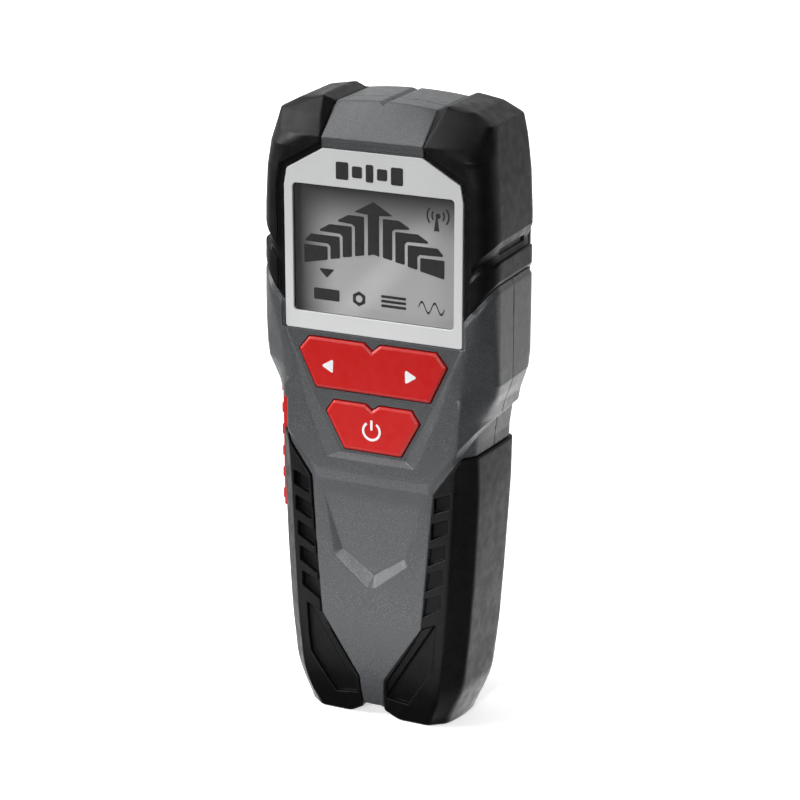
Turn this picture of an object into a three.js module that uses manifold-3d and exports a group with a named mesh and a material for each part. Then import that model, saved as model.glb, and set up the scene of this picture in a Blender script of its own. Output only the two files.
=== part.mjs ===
// Hand-held stud finder, standing upright on its two feet.
// Millimetres. +Z up, +X right seen from the display side, -Y towards the user, +Y the wall side.
// Every y below is measured from the front of the display bezel; the whole group is then shifted
// so that the origin is the middle of the bounding box's bottom.

import * as THREE from 'three';
import { mergeVertices } from 'three/addons/utils/BufferGeometryUtils.js';
import Module from 'manifold-3d';

const wasm = await Module();
wasm.setup();

// ---------------------------------------------------------------- driving dimensions

const HEIGHT = 191.5;            // feet to top of the head
const FRONT_Y = -2.4;            // foremost point, on the grips
const BACK_Y = 34.5;             // rearmost point, on the glide pads
const HEAD_BACK_Y = 34.0;
const HANDLE_BACK_Y = 28.5;
const SPLIT_Y = 16.0;            // where the two housing halves meet
const FIT = 0.1;                 // gap between pieces that are fixed to each other
const SLIP = 0.3;                // gap round pieces that move
const RUBBER = 2.0;              // thickness of bumpers and grips
const WALL = 2.2;                // housing wall
const ROUND = 16;                // sides of a small cylinder

// Half-sections of the outer body from the feet to the top. Each row is a height and five points
// [x, y]: front corner, front edge, shoulder, heel and back corner.
const SECTIONS = [
  [0.0, [17.5, 0.8], [22.4, 4.2], [24.9, 10.0], [24.8, 20.5], [20.0, 24.5]],
  [4.5, [20.0, -1.0], [24.6, 4.0], [26.6, 11.0], [27.0, 22.0], [22.0, 27.0]],
  [13.0, [22.6, -2.3], [28.2, 4.2], [30.0, 12.0], [30.4, 23.0], [26.0, HANDLE_BACK_Y]],
  [30.0, [24.2, FRONT_Y], [30.1, 4.4], [31.1, 14.0], [31.4, 26.2], [28.0, HANDLE_BACK_Y]],
  [50.0, [25.3, -2.1], [31.4, 4.8], [32.4, 14.0], [32.7, 26.6], [29.5, HANDLE_BACK_Y]],
  [76.0, [26.6, -1.6], [32.4, 5.1], [33.6, 14.0], [33.9, 27.2], [31.4, HANDLE_BACK_Y]],
  [89.0, [27.6, -1.5], [32.3, 4.8], [33.4, 14.0], [33.9, 28.0], [32.0, 29.8]],
  [92.0, [27.8, -1.4], [32.2, 4.7], [33.4, 12.5], [33.8, 28.4], [32.2, 30.2]],
  [99.0, [28.2, -1.2], [32.2, 4.5], [34.0, 11.0], [34.5, 29.2], [32.8, 31.0]],
  [103.5, [28.6, -1.0], [32.6, 4.1], [35.2, 8.4], [35.4, 29.2], [33.4, 31.8]],
  [107.0, [28.9, -0.9], [33.0, 3.5], [36.8, 6.8], [36.9, 29.2], [34.0, 32.8]],
  [110.5, [29.1, -0.7], [33.6, 2.8], [37.8, 5.8], [37.9, 29.6], [34.8, 33.7]],
  [115.0, [29.4, -0.6], [33.8, 2.2], [37.8, 5.5], [38.0, 31.0], [35.5, HEAD_BACK_Y]],
  [132.0, [31.0, -0.8], [33.5, -0.7], [37.8, 5.2], [38.0, 31.0], [35.5, HEAD_BACK_Y]],
  [158.0, [31.0, -0.8], [33.4, -0.7], [37.6, 5.2], [38.0, 31.0], [35.5, HEAD_BACK_Y]],
  [170.0, [31.0, -0.8], [33.2, -0.6], [36.8, 5.2], [37.4, 30.8], [35.0, HEAD_BACK_Y]],
  [177.6, [30.6, -0.7], [32.2, 0.0], [35.8, 6.0], [36.4, 30.7], [34.0, HEAD_BACK_Y]],
  [181.1, [24.7, -0.5], [32.2, 3.2], [35.3, 7.7], [35.8, 30.7], [33.2, HEAD_BACK_Y]],
  [186.6, [22.5, 4.0], [33.6, 8.2], [34.3, 10.0], [34.6, 30.6], [32.0, HEAD_BACK_Y]],
  [190.0, [21.0, 6.9], [24.9, 8.2], [27.6, 10.0], [28.2, 30.4], [26.4, 32.2]],
  [HEIGHT, [20.2, 8.1], [20.3, 10.0], [20.5, 14.0], [20.6, 28.6], [19.0, 30.7]],
];

// Outlines seen from the front, right half, as [x, z].
const BEZEL = [[15.8, 177.6], [27.7, 170.7], [28.6, 165.7], [28.6, 122.4]];
const ROCKER = [[2.6, 120.3], [20.7, 120.3], [24.0, 116.2], [18.6, 104.8]];
const POWER = [[2.2, 101.4], [12.8, 101.4], [15.3, 97.7], [9.3, 86.6]];
const BUTTON_WELL = [[28.4, 122.3], [28.4, 117.5], [15.0, 82.0]];
const SHIELD = [[16.0, 71.0], [12.0, 54.0], [0, 44.2], [-12.0, 54.0], [-16.0, 71.0], [0, 73.0]];
const SHIELD_FLOOR_Y = -1.2;
const LONG_POCKET = [[17.2, 33.4], [21.6, 35.3], [20.2, 19.5], [12.2, 7.0], [5.6, 8.2], [5.6, 13.0]];
// Felt strips across the back that the tool slides on, between the upper screws.
const PAD = { halfWidth: 21.0, middles: [177.0, 117.0] };
const ROCKER_NOTCH = 2.3;
const POWER_NOTCH = 1.6;
const WINDOW = { halfWidth: 25.9, low: 127.8, high: 166.5 };
const BUMPER_EDGE = [[16.2, 200], [16.2, 178.8], [28.3, 171.4], [29.2, 165.9], [29.0, 130.6], [37.8, 141.8],
  [45, 141.8], [45, 200]];
const GRIP_EDGE = [[3.4, -5], [3.4, 3.0], [4.2, 13.6], [16.7, 32.8], [20.2, 76.6], [28.6, 88.4], [45, 88.4],
  [45, -5]];
const GRIP_BACK_EDGE = [[8.0, -5], [8.0, 5.0], [23.5, 17.0], [23.5, 88.4], [45, 88.4], [45, -5]];

// Layers behind the bezel, front to back.
const BEZEL_THICK = 0.8;
const LENS_Y = [0.9, 1.4];
const GASKET_Y = [1.45, 1.75];
const LCD_Y = [1.8, 3.8];
const BACKLIGHT_Y = [3.9, 6.4];
const DISPLAY = { halfWidth: 26.8, low: 126.8, high: 167.6 };
const BOARD_Y = [8.2, 9.8];
const SENSOR_BOARD_Y = [27.8, 29.4];

// Buttons and their switches.
const BUTTON_Y = [-0.8, 1.9];
const ROCKER_PIVOT_Y = 2.5;
const ROCKER_STEM_X = 14.0;
const ROCKER_Z = 111.5;
const POWER_Z = 94.0;
const STEM_END_Y = 3.7;
const PLUNGER = { radius: 1.7, length: 1.2, top: 4.7 };
const SWITCH = { size: 6.0, front: 5.0 };

// Trigger on the left side.
const SCAN = { y0: 10.8, y1: 22.2, z0: 60.6, z1: 102.6, face: -35.9, root: -30.0, rib: 0.6, ribs: 6 };
const SCAN_Z = (SCAN.z0 + SCAN.z1) / 2;
const SCAN_Y = (SCAN.y0 + SCAN.y1) / 2;
const SIDE_SWITCH_X = [-27.7, -24.7];
const SIDE_BOARD_X = [-24.6, -23.4];
const SIDE_BOARD_Z = [78, 91];
const SIDE_PLUNGER_X = -28.0;
// The housing's left edge is cut back here to bare the trigger; [x, y] seen from above.
const TRIGGER_RELIEF = [[-27.56, -2.0], [-45.0, -2.0], [-45.0, 14.0], [-34.77, 14.0]];

// Battery bay and its door.
const BATTERY = { halfWidth: 13.25, y0: 7.9, y1: 25.4, z0: 14.0, z1: 60.5 };
const DOOR = { halfWidth: 15.9, y0: 26.5, y1: HANDLE_BACK_Y, z0: 13.4, z1: 69.7 };
const DOOR_AXIS = { y: 27.3, z: 13.4, radius: 1.0 };

const SCREWS = [[-26.0, 179.0], [26.0, 179.0], [-20.0, 40.0], [20.0, 40.0]];
const BOARD_SCREWS = [[-27.0, 110.0], [27.0, 110.0]];

// ---------------------------------------------------------------- solids

function solid(geometry) {
  const bare = geometry.index ? geometry.toNonIndexed() : geometry.clone();
  bare.deleteAttribute('normal');
  bare.deleteAttribute('uv');
  const merged = mergeVertices(bare, 1e-4);
  return new wasm.Manifold(new wasm.Mesh({
    numProp: 3,
    vertProperties: new Float32Array(merged.attributes.position.array),
    triVerts: new Uint32Array(merged.index.array),
  }));
}

function geometryOf(manifold) {
  const mesh = manifold.getMesh();
  const geometry = new THREE.BufferGeometry();
  geometry.setAttribute('position', new THREE.BufferAttribute(new Float32Array(mesh.vertProperties), 3));
  geometry.setIndex(new THREE.BufferAttribute(new Uint32Array(mesh.triVerts), 1));
  geometry.computeVertexNormals();
  return geometry;
}

// A box between two corners, each range given as low and high.
function block(x0, x1, y0, y1, z0, z1) {
  const geometry = new THREE.BoxGeometry(x1 - x0, y1 - y0, z1 - z0);
  geometry.translate((x0 + x1) / 2, (y0 + y1) / 2, (z0 + z1) / 2);
  return solid(geometry);
}

// An outline of [x, z] points, given depth from y0 to y1.
function plate(outline, y0, y1) {
  const shape = new THREE.Shape(outline.map(([x, z]) => new THREE.Vector2(x, z)));
  const geometry = new THREE.ExtrudeGeometry(shape, { depth: y1 - y0, bevelEnabled: false });
  geometry.rotateX(Math.PI / 2);
  geometry.translate(0, y1, 0);
  return solid(geometry);
}

// An outline of [x, y] points, given height from z0 to z1.
function prism(outline, z0, z1) {
  const shape = new THREE.Shape(outline.map(([x, y]) => new THREE.Vector2(x, y)));
  const geometry = new THREE.ExtrudeGeometry(shape, { depth: z1 - z0, bevelEnabled: false });
  geometry.translate(0, 0, z0);
  return solid(geometry);
}

// A cylinder between two points.
function rod(from, to, radius, sides = ROUND) {
  const a = new THREE.Vector3(...from);
  const b = new THREE.Vector3(...to);
  const way = b.clone().sub(a);
  const geometry = new THREE.CylinderGeometry(radius, radius, way.length(), sides);
  geometry.applyQuaternion(new THREE.Quaternion().setFromUnitVectors(
    new THREE.Vector3(0, 1, 0), way.clone().normalize()));
  geometry.translate(...a.add(b).multiplyScalar(0.5).toArray());
  return solid(geometry);
}

// A turned solid about a line along Y through [x, z]; its profile is [radius, y] points.
function turned(profile, x, z, sides = 36) {
  const points = profile.map(([radius, y]) => new THREE.Vector2(radius, y));
  const geometry = new THREE.LatheGeometry(points, sides);
  geometry.translate(x, 0, z);
  return solid(geometry);
}

// A tube along a smooth curve through the given points.
function tube(points, radius, sides = 8, steps = 24) {
  const curve = new THREE.CatmullRomCurve3(points.map((p) => new THREE.Vector3(...p)));
  const section = new THREE.Shape();
  for (let i = 0; i < sides; i += 1) {
    const angle = (2 * Math.PI * i) / sides;
    const place = [radius * Math.cos(angle), radius * Math.sin(angle)];
    if (i === 0) {
      section.moveTo(...place);
    } else {
      section.lineTo(...place);
    }
  }
  return solid(new THREE.ExtrudeGeometry(section, { steps, extrudePath: curve, bevelEnabled: false }));
}

// Drops the slivers that a cut can leave beside the piece itself.
function largest(manifold) {
  return manifold.decompose().reduce((best, piece) => (piece.volume() > best.volume() ? piece : best));
}

function mirrored(manifold) {
  return manifold.mirror([1, 0, 0]);
}

function union(...pieces) {
  return pieces.reduce((all, piece) => all.add(piece));
}

// ---------------------------------------------------------------- outlines

// A right half outline closed with its mirror image.
function closed(half) {
  return [...half, ...half.map(([x, z]) => [-x, z]).reverse()];
}

// The point where the lines through a-b and c-d, each moved inwards by a distance, cross.
function insetCorner(a, b, c, distance) {
  const first = new THREE.Vector2(b[0] - a[0], b[1] - a[1]).normalize();
  const second = new THREE.Vector2(c[0] - b[0], c[1] - b[1]).normalize();
  const n1 = new THREE.Vector2(-first.y, first.x);
  const n2 = new THREE.Vector2(-second.y, second.x);
  const reach = distance / (1 + n1.dot(n2));
  return [b[0] + (n1.x + n2.x) * reach, b[1] + (n1.y + n2.y) * reach];
}

// Moves every side of a counter-clockwise outline inwards, or outwards when negative.
function inset(outline, distance) {
  const count = outline.length;
  return outline.map((point, i) => insetCorner(
    outline[(i + count - 1) % count], point, outline[(i + 1) % count], distance));
}

function counterClockwise(outline) {
  return THREE.ShapeUtils.isClockWise(outline.map(([x, z]) => new THREE.Vector2(x, z)))
    ? [...outline].reverse() : outline;
}

function grown(outline, distance) {
  return inset(counterClockwise(outline), -distance);
}

// A button's outline: its right half mirrored, with a small V notch at the top centre.
function buttonOutline(half, notchDepth) {
  return closed([[0, half[0][1] - notchDepth], ...half]).slice(0, -1);
}

// ---------------------------------------------------------------- outer body

// The ring of points round the body at one section, counter-clockwise from above.
function ringAt(section, thickness) {
  const half = section.slice(1);
  const ring = [...half, ...half.map(([x, y]) => [-x, y]).reverse()];
  return inset(ring, thickness);
}

// The whole body as one solid, its skin moved inwards by a thickness.
function body(thickness = 0) {
  const heights = SECTIONS.map((section) => section[0]);
  heights[0] += thickness;
  heights[heights.length - 1] -= thickness;
  heights[heights.length - 2] -= thickness * 0.7;
  heights[heights.length - 3] -= thickness * 0.4;
  const rings = SECTIONS.map((section) => ringAt(section, thickness));
  const count = rings[0].length;
  const positions = [];
  rings.forEach((ring, row) => ring.forEach(([x, y]) => positions.push(x, y, heights[row])));
  const index = [];
  for (let row = 0; row + 1 < rings.length; row += 1) {
    for (let i = 0; i < count; i += 1) {
      const a = row * count + i;
      const b = row * count + ((i + 1) % count);
      index.push(a, b, b + count, a, b + count, a + count);
    }
  }
  const top = (rings.length - 1) * count;
  for (let i = 1; i + 1 < count; i += 1) {
    index.push(0, i + 1, i, top, top + i, top + i + 1);
  }
  const geometry = new THREE.BufferGeometry();
  geometry.setAttribute('position', new THREE.Float32BufferAttribute(positions, 3));
  geometry.setIndex(index);
  const notchTop = 3.0 + thickness;
  const footNotch = plate([[-9.8, -1], [9.8, -1], [3.2, notchTop], [-3.2, notchTop]], -10, 50);
  return solid(geometry).subtract(footNotch);
}

const outer = body();
const underRubber = body(RUBBER);
const underHousing = body(RUBBER + WALL);

// The space that a right-hand bumper and grip may fill, with a gap taken off all round.
function bumperSpace(gap) {
  return plate(inset(counterClockwise(BUMPER_EDGE), gap), -5, 31.2 - gap);
}

function gripSpace(gap) {
  const front = plate(inset(counterClockwise(GRIP_EDGE), gap), -10, 14.0);
  const back = plate(inset(counterClockwise(GRIP_BACK_EDGE), gap), 13.9, 50);
  return front.add(back);
}

// The pocket that the side trigger moves in.
const scanPocket = block(-45, -24, SCAN.y0 - SLIP, SCAN.y1 + SLIP, SCAN.z0 - SLIP, SCAN.z1 + SLIP);

// Everything that the two housing halves share, before they are split.
function housing() {
  const rubberSpace = union(bumperSpace(0), gripSpace(0)).subtract(underRubber);
  const hollow = union(
    underHousing,
    block(-33, 33, BEZEL_THICK + WALL, HEAD_BACK_Y - 2.4, 112, 183),
    block(-26, 26, 1.2, 26.2, 78, 112),
    block(-22, 22, 0.8, 26.2, 12, 80),
  ).intersect(body(WALL));
  return outer.subtract(rubberSpace).subtract(mirrored(rubberSpace)).subtract(hollow).subtract(scanPocket);
}

const shell = housing();

// The groove across the top of the head that marks the centre line.
const centreGroove = plate([[0, 189.6], [1.6, 195], [-1.6, 195]], -10, 50);

// ---------------------------------------------------------------- housing halves

function displayOpening() {
  const recess = plate(grown(closed(BEZEL), FIT), -5, BEZEL_THICK + FIT);
  const face = block(-31, 31, -5, 0, 122.3, 178.5);
  const through = block(-DISPLAY.halfWidth - FIT, DISPLAY.halfWidth + FIT, -5, 8,
    DISPLAY.low - FIT, DISPLAY.high + FIT);
  return union(recess, face.intersect(plate(grown(closed(BEZEL), 1.0), -5, 5)), through);
}

function buttonOpenings() {
  const well = plate(closed(BUTTON_WELL), -5, 0);
  const rocker = plate(grown(buttonOutline(ROCKER, ROCKER_NOTCH), SLIP), -5, 6);
  const power = plate(grown(buttonOutline(POWER, POWER_NOTCH), SLIP), -5, 6);
  return union(well, rocker, power);
}

// Two lugs that hold the rocker's pivot.
function rockerLugs() {
  const low = block(-2.6, 2.6, 0.9, 4.9, 102.6, 103.9);
  const high = block(-2.6, 2.6, 1.4, 4.9, 121.0, 122.2);
  return low.add(high);
}

function frontHousing() {
  const half = shell.intersect(block(-50, 50, -10, SPLIT_Y - FIT / 2, -5, 200));
  const posts = SCREWS.map(([x, z]) => rod([x, 1.0, z], [x, SPLIT_Y - FIT / 2, z], 2.9));
  const boardPosts = BOARD_SCREWS.map(([x, z]) => rod([x, 1.2, z], [x, BOARD_Y[0] - FIT, z], 2.3));
  const bores = SCREWS.map(([x, z]) => rod([x, 5, z], [x, SPLIT_Y + 1, z], 1.5));
  const boardBores = BOARD_SCREWS.map(([x, z]) => rod([x, 3.2, z], [x, BOARD_Y[0] + 1, z], 1.15));
  const pivotBore = rod([0, ROCKER_PIVOT_Y, 102], [0, ROCKER_PIVOT_Y, 122.4], 1.35);
  const shield = plate(SHIELD, -5, SHIELD_FLOOR_Y);
  const relief = prism(TRIGGER_RELIEF, 82.0, 102.0);
  return half.add(union(...posts, ...boardPosts).intersect(underRubber))
    .subtract(displayOpening())
    .subtract(buttonOpenings())
    .add(rockerLugs())
    .subtract(union(pivotBore, ...bores, ...boardBores, centreGroove, shield, relief))
    .subtract(scanPocket);
}

// The room inside the battery tray.
function batteryRoom() {
  return block(-13.9, 13.9, BATTERY.y0 - 0.2, 40, BATTERY.z0 - 0.2, 67.2);
}

function batteryTray() {
  const walls = block(-15.4, 15.4, BATTERY.y0 - 1.3, 27.0, BATTERY.z0 - 1.7, 68.6);
  const leadSlot = block(-8, 8, 12, 20, 66, 70);
  return walls.subtract(batteryRoom()).subtract(leadSlot);
}

function doorRecess() {
  const halfWidth = DOOR.halfWidth + SLIP;
  const recess = block(-halfWidth, halfWidth, DOOR.y0 - 0.2, 40, 12.0, DOOR.z1 + SLIP);
  const { y, z, radius } = DOOR_AXIS;
  const pins = rod([-17.6, y, z], [17.6, y, z], radius + 0.2);
  return union(recess, batteryRoom(), pins);
}

function rearHousing() {
  const half = shell.intersect(block(-50, 50, SPLIT_Y + FIT / 2, 50, -5, 200));
  const posts = SCREWS.map(([x, z]) => rod([x, SPLIT_Y + FIT / 2, z], [x, z > 100 ? 33 : 27, z], 2.9));
  const bores = SCREWS.map(([x, z]) => rod([x, SPLIT_Y - 1, z], [x, 50, z], 1.6));
  const heads = SCREWS.map(([x, z]) => rod([x, z > 100 ? 27.0 : 21.0, z], [x, 50, z], 2.5));
  const boardRib = block(-24.8, -23.2, 22.8, 26.8, ...SIDE_BOARD_Z);
  const padHalf = PAD.halfWidth + FIT;
  const padRecesses = PAD.middles.map((z) => block(-padHalf, padHalf, 33.6, 40, z - 3.1, z + 3.1));
  const labelRecess = block(-20.1, 20.1, 33.8, 40, 135.9, 156.1);
  return half.add(union(...posts, boardRib, batteryTray()).intersect(underRubber))
    .subtract(union(doorRecess(), ...bores, ...heads, ...padRecesses, labelRecess, centreGroove))
    .subtract(scanPocket);
}

// ---------------------------------------------------------------- rubber

function bumper() {
  const lip = plate(grown(closed(BEZEL), 2.3), -5, 0.4);
  const sideGroove = block(36.2, 45, 6, 40, 148.6, 151.4);
  return outer.subtract(underRubber.add(body(RUBBER - FIT)))
    .intersect(bumperSpace(FIT))
    .subtract(lip)
    .subtract(sideGroove);
}

// Five short pockets and one long one that runs down to the foot.
function gripPockets() {
  const pockets = [];
  for (let i = 0; i < 5; i += 1) {
    const low = 71.4 - 7.85 * i;
    const slide = 0.8 * i;
    pockets.push(plate([[21.0 - slide, low], [25.4 - 0.6 * i, low + 1.8], [25.4 - 0.6 * i, low + 6.4],
      [21.0 - slide, low + 4.6]], -5, -0.9));
  }
  pockets.push(plate(LONG_POCKET, -5, SHIELD_FLOOR_Y));
  return union(...pockets);
}

function grip() {
  return outer.subtract(body(RUBBER - FIT)).intersect(gripSpace(FIT)).subtract(gripPockets());
}

// ---------------------------------------------------------------- display

function displayBezel() {
  const window = block(-WINDOW.halfWidth, WINDOW.halfWidth, -5, 5, WINDOW.low, WINDOW.high);
  return plate(closed(BEZEL), 0, BEZEL_THICK).subtract(window);
}

// A layer of the display stack, the size of the opening in the housing.
function displayLayer(y0, y1) {
  return block(-DISPLAY.halfWidth, DISPLAY.halfWidth, y0, y1, DISPLAY.low, DISPLAY.high);
}

function lensGasket() {
  const border = 0.8;
  const inside = block(-DISPLAY.halfWidth + border, DISPLAY.halfWidth - border, 0, 5,
    DISPLAY.low + border, DISPLAY.high - border);
  return displayLayer(...GASKET_Y).subtract(inside);
}

// ---------------------------------------------------------------- buttons

function rockerButton() {
  const key = plate(buttonOutline(ROCKER, ROCKER_NOTCH), ...BUTTON_Y);
  const pivot = rod([0, ROCKER_PIVOT_Y, 102.7], [0, ROCKER_PIVOT_Y, 122.1], 1.1);
  const stems = [-1, 1].map((side) => rod([side * ROCKER_STEM_X, 1.0, ROCKER_Z],
    [side * ROCKER_STEM_X, STEM_END_Y + 0.2, ROCKER_Z], 1.6));
  return union(key, pivot, ...stems);
}

function powerButton() {
  const key = plate(buttonOutline(POWER, POWER_NOTCH), ...BUTTON_Y);
  return key.add(rod([0, 1.0, POWER_Z], [0, STEM_END_Y, POWER_Z], 1.8));
}

function scanButton() {
  const pieces = [block(SCAN.face, SCAN.root, SCAN.y0, SCAN.y1, SCAN.z0, SCAN.z1)];
  const pitch = (SCAN.z1 - SCAN.z0) / SCAN.ribs;
  for (let i = 0; i < SCAN.ribs; i += 1) {
    const middle = SCAN.z0 + pitch * (i + 0.5);
    pieces.push(block(SCAN.face - SCAN.rib, SCAN.face + 1, SCAN.y0 + 0.6, SCAN.y1 - 0.6,
      middle - pitch / 4, middle + pitch / 4));
  }
  pieces.push(rod([SCAN.root - 1, SCAN_Y, SCAN_Z], [SCAN.root + 0.9, SCAN_Y, SCAN_Z], 1.8));
  return union(...pieces);
}

// ---------------------------------------------------------------- switches

function frontSwitch(x, z) {
  const half = SWITCH.size / 2;
  const box = block(x - half, x + half, SWITCH.front, BOARD_Y[0] - FIT, z - half, z + half);
  return box.subtract(rod([x, 4, z], [x, SWITCH.front + 1.6, z], PLUNGER.radius + 0.15));
}

function frontPlunger(x, z) {
  return rod([x, PLUNGER.top, z], [x, PLUNGER.top + PLUNGER.length, z], PLUNGER.radius);
}

function sideSwitch() {
  const half = SWITCH.size / 2;
  const box = block(...SIDE_SWITCH_X, SCAN_Y - half, SCAN_Y + half, SCAN_Z - half, SCAN_Z + half);
  return box.subtract(rod([-30, SCAN_Y, SCAN_Z], [SIDE_SWITCH_X[0] + 1.6, SCAN_Y, SCAN_Z],
    PLUNGER.radius + 0.15));
}

function sidePlunger() {
  const end = SIDE_PLUNGER_X + PLUNGER.length;
  return rod([SIDE_PLUNGER_X, SCAN_Y, SCAN_Z], [end, SCAN_Y, SCAN_Z], PLUNGER.radius);
}

// ---------------------------------------------------------------- boards and what they carry

function mainBoard() {
  const wide = block(-30, 30, ...BOARD_Y, 105, 173);
  const narrow = block(-22, 22, ...BOARD_Y, 84, 106);
  const holes = BOARD_SCREWS.map(([x, z]) => rod([x, 5, z], [x, 12, z], 1.5));
  return wide.add(narrow).subtract(union(...holes));
}

const COIL_Z = 149;
function coilBobbin() {
  return turned([[7, 21.4], [14, 21.4], [14, 22.6], [8.6, 22.6], [8.6, 26.4], [14, 26.4], [14, 27.7],
    [7, 27.7], [7, 21.4]], 0, COIL_Z);
}

function detectorCoil() {
  return turned([[8.7, 22.8], [12.6, 22.8], [12.6, 26.2], [8.7, 26.2], [8.7, 22.8]], 0, COIL_Z);
}

// ---------------------------------------------------------------- battery

const STUD_X = 6.3;
function batterySnap() {
  const pad = block(-13, 13, 10.4, 22.9, BATTERY.z1 + FIT, 66.0);
  const pockets = [-STUD_X, STUD_X].map((x) => rod([x, 16.65, 59], [x, 16.65, 63.4], 4.2));
  return pad.subtract(union(...pockets));
}

function batteryStud(x, radius) {
  return rod([x, 16.65, BATTERY.z1 + FIT / 2], [x, 16.65, 63.0], radius);
}

function lead(x, boardX) {
  const snapEnd = [[x, 16, 66.15], [x, 16, 72]];
  const boardEnd = [[boardX, 14, 88], [boardX, 11.5, 91.5], [boardX, 10.0, 92]];
  return tube([...snapEnd, [(x + boardX) / 2, 15, 80], ...boardEnd], 0.65);
}

// ---------------------------------------------------------------- battery door

function batteryDoor() {
  const panel = block(-DOOR.halfWidth, DOOR.halfWidth, DOOR.y0, DOOR.y1, DOOR.z0, DOOR.z1);
  const barrel = rod([-17.3, DOOR_AXIS.y, DOOR_AXIS.z], [17.3, DOOR_AXIS.y, DOOR_AXIS.z], DOOR_AXIS.radius);
  const grooves = [60, 62.5, 65].map((z) => block(-8, 8, DOOR.y1 - 0.5, 40, z - 0.6, z + 0.6));
  return panel.add(barrel).subtract(union(...grooves));
}

// ---------------------------------------------------------------- screws

function screw(x, z, headY, tipY, shaft, head, thick) {
  return rod([x, headY, z], [x, headY + thick, z], head).add(rod([x, tipY, z], [x, headY + 0.2, z], shaft));
}

// ---------------------------------------------------------------- assembly

const MATERIALS = {
  grey: { color: 0x4a4d50, roughness: 0.55, metalness: 0.1 },
  rubber: { color: 0x17181a, roughness: 0.85, metalness: 0 },
  white: { color: 0xd6d6d6, roughness: 0.45, metalness: 0 },
  red: { color: 0xc4201c, roughness: 0.4, metalness: 0 },
  clear: { color: 0x9a9c9e, roughness: 0.08, metalness: 0 },
  lcd: { color: 0x6c6e6c, roughness: 0.3, metalness: 0 },
  diffuser: { color: 0xe8e8e2, roughness: 0.5, metalness: 0 },
  board: { color: 0x1f6b3a, roughness: 0.5, metalness: 0 },
  black: { color: 0x202122, roughness: 0.5, metalness: 0 },
  copper: { color: 0xb5672f, roughness: 0.35, metalness: 0.9 },
  steel: { color: 0xb0b3b5, roughness: 0.3, metalness: 0.9 },
  brass: { color: 0xc9a24a, roughness: 0.3, metalness: 0.9 },
  foam: { color: 0x2c2c2e, roughness: 0.95, metalness: 0 },
  batteryCan: { color: 0x3c4f6b, roughness: 0.35, metalness: 0.5 },
  label: { color: 0xdadada, roughness: 0.6, metalness: 0 },
  felt: { color: 0x54575a, roughness: 0.95, metalness: 0 },
  redLead: { color: 0xb01818, roughness: 0.5, metalness: 0 },
  blackLead: { color: 0x141414, roughness: 0.5, metalness: 0 },
};

const group = new THREE.Group();
group.position.y = -(FRONT_Y + BACK_Y) / 2;

function add(name, material, manifold) {
  const mesh = new THREE.Mesh(geometryOf(manifold), new THREE.MeshStandardMaterial(MATERIALS[material]));
  mesh.name = name;
  group.add(mesh);
}

add('front_housing', 'grey', largest(frontHousing()));
add('rear_housing', 'grey', largest(rearHousing()));
add('head_bumper_left', 'rubber', mirrored(bumper()));
add('head_bumper_right', 'rubber', bumper());
add('grip_left', 'rubber', mirrored(grip()).subtract(scanPocket));
add('grip_right', 'rubber', grip());

add('display_bezel', 'white', displayBezel());
add('display_lens', 'clear', displayLayer(...LENS_Y));
add('lens_gasket', 'foam', lensGasket());
add('lcd_panel', 'lcd', displayLayer(...LCD_Y));
add('backlight', 'diffuser', displayLayer(...BACKLIGHT_Y));

add('rocker_button', 'red', rockerButton());
add('power_button', 'red', powerButton());
add('scan_button', 'red', scanButton());

const FRONT_SWITCHES = [
  ['left', -ROCKER_STEM_X, ROCKER_Z],
  ['right', ROCKER_STEM_X, ROCKER_Z],
  ['power', 0, POWER_Z],
];
for (const [name, x, z] of FRONT_SWITCHES) {
  add(`switch_${name}`, 'black', frontSwitch(x, z));
  add(`switch_plunger_${name}`, 'white', frontPlunger(x, z));
}
add('switch_scan', 'black', sideSwitch());
add('switch_plunger_scan', 'white', sidePlunger());
add('scan_switch_board', 'board', block(...SIDE_BOARD_X, 10.4, 22.6, ...SIDE_BOARD_Z));

add('main_board', 'board', mainBoard());
add('controller_chip', 'black', block(-5, 5, BOARD_Y[1] + FIT, 11.4, 132, 142));
add('buzzer', 'black', rod([-13, BOARD_Y[1] + FIT, 96], [-13, 15.6, 96], 6, 32));
add('board_link_header', 'black', block(17, 27, BOARD_Y[1] + FIT, SENSOR_BOARD_Y[0] - FIT, 118, 121));
add('sensor_board', 'board', block(-31, 31, ...SENSOR_BOARD_Y, 114, 173));
add('sensor_plate_upper', 'copper', block(-27, 27, 29.5, 29.8, 147, 171));
add('sensor_plate_lower', 'copper', block(-27, 27, 29.5, 29.8, 117, 141));
add('coil_bobbin', 'black', coilBobbin());
add('detector_coil', 'copper', detectorCoil());

add('battery_9v', 'batteryCan', block(-BATTERY.halfWidth, BATTERY.halfWidth, BATTERY.y0, BATTERY.y1,
  BATTERY.z0, BATTERY.z1));
add('battery_stud_positive', 'steel', batteryStud(-STUD_X, 2.8));
add('battery_stud_negative', 'steel', batteryStud(STUD_X, 3.9));
add('battery_snap', 'black', batterySnap());
add('lead_red', 'redLead', lead(-3, -5));
add('lead_black', 'blackLead', lead(3, 5));

add('battery_door', 'grey', batteryDoor());
add('battery_foam_pad', 'foam', block(-11, 11, 25.5, 26.4, 24, 54));

const [upperPad, lowerPad] = PAD.middles.map((z) => {
  return block(-PAD.halfWidth, PAD.halfWidth, 33.7, BACK_Y, z - 3, z + 3);
});
add('glide_pad_upper', 'felt', upperPad);
add('glide_pad_lower', 'felt', lowerPad);
add('rating_label', 'label', block(-20, 20, 33.85, 33.97, 136, 156));

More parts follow.
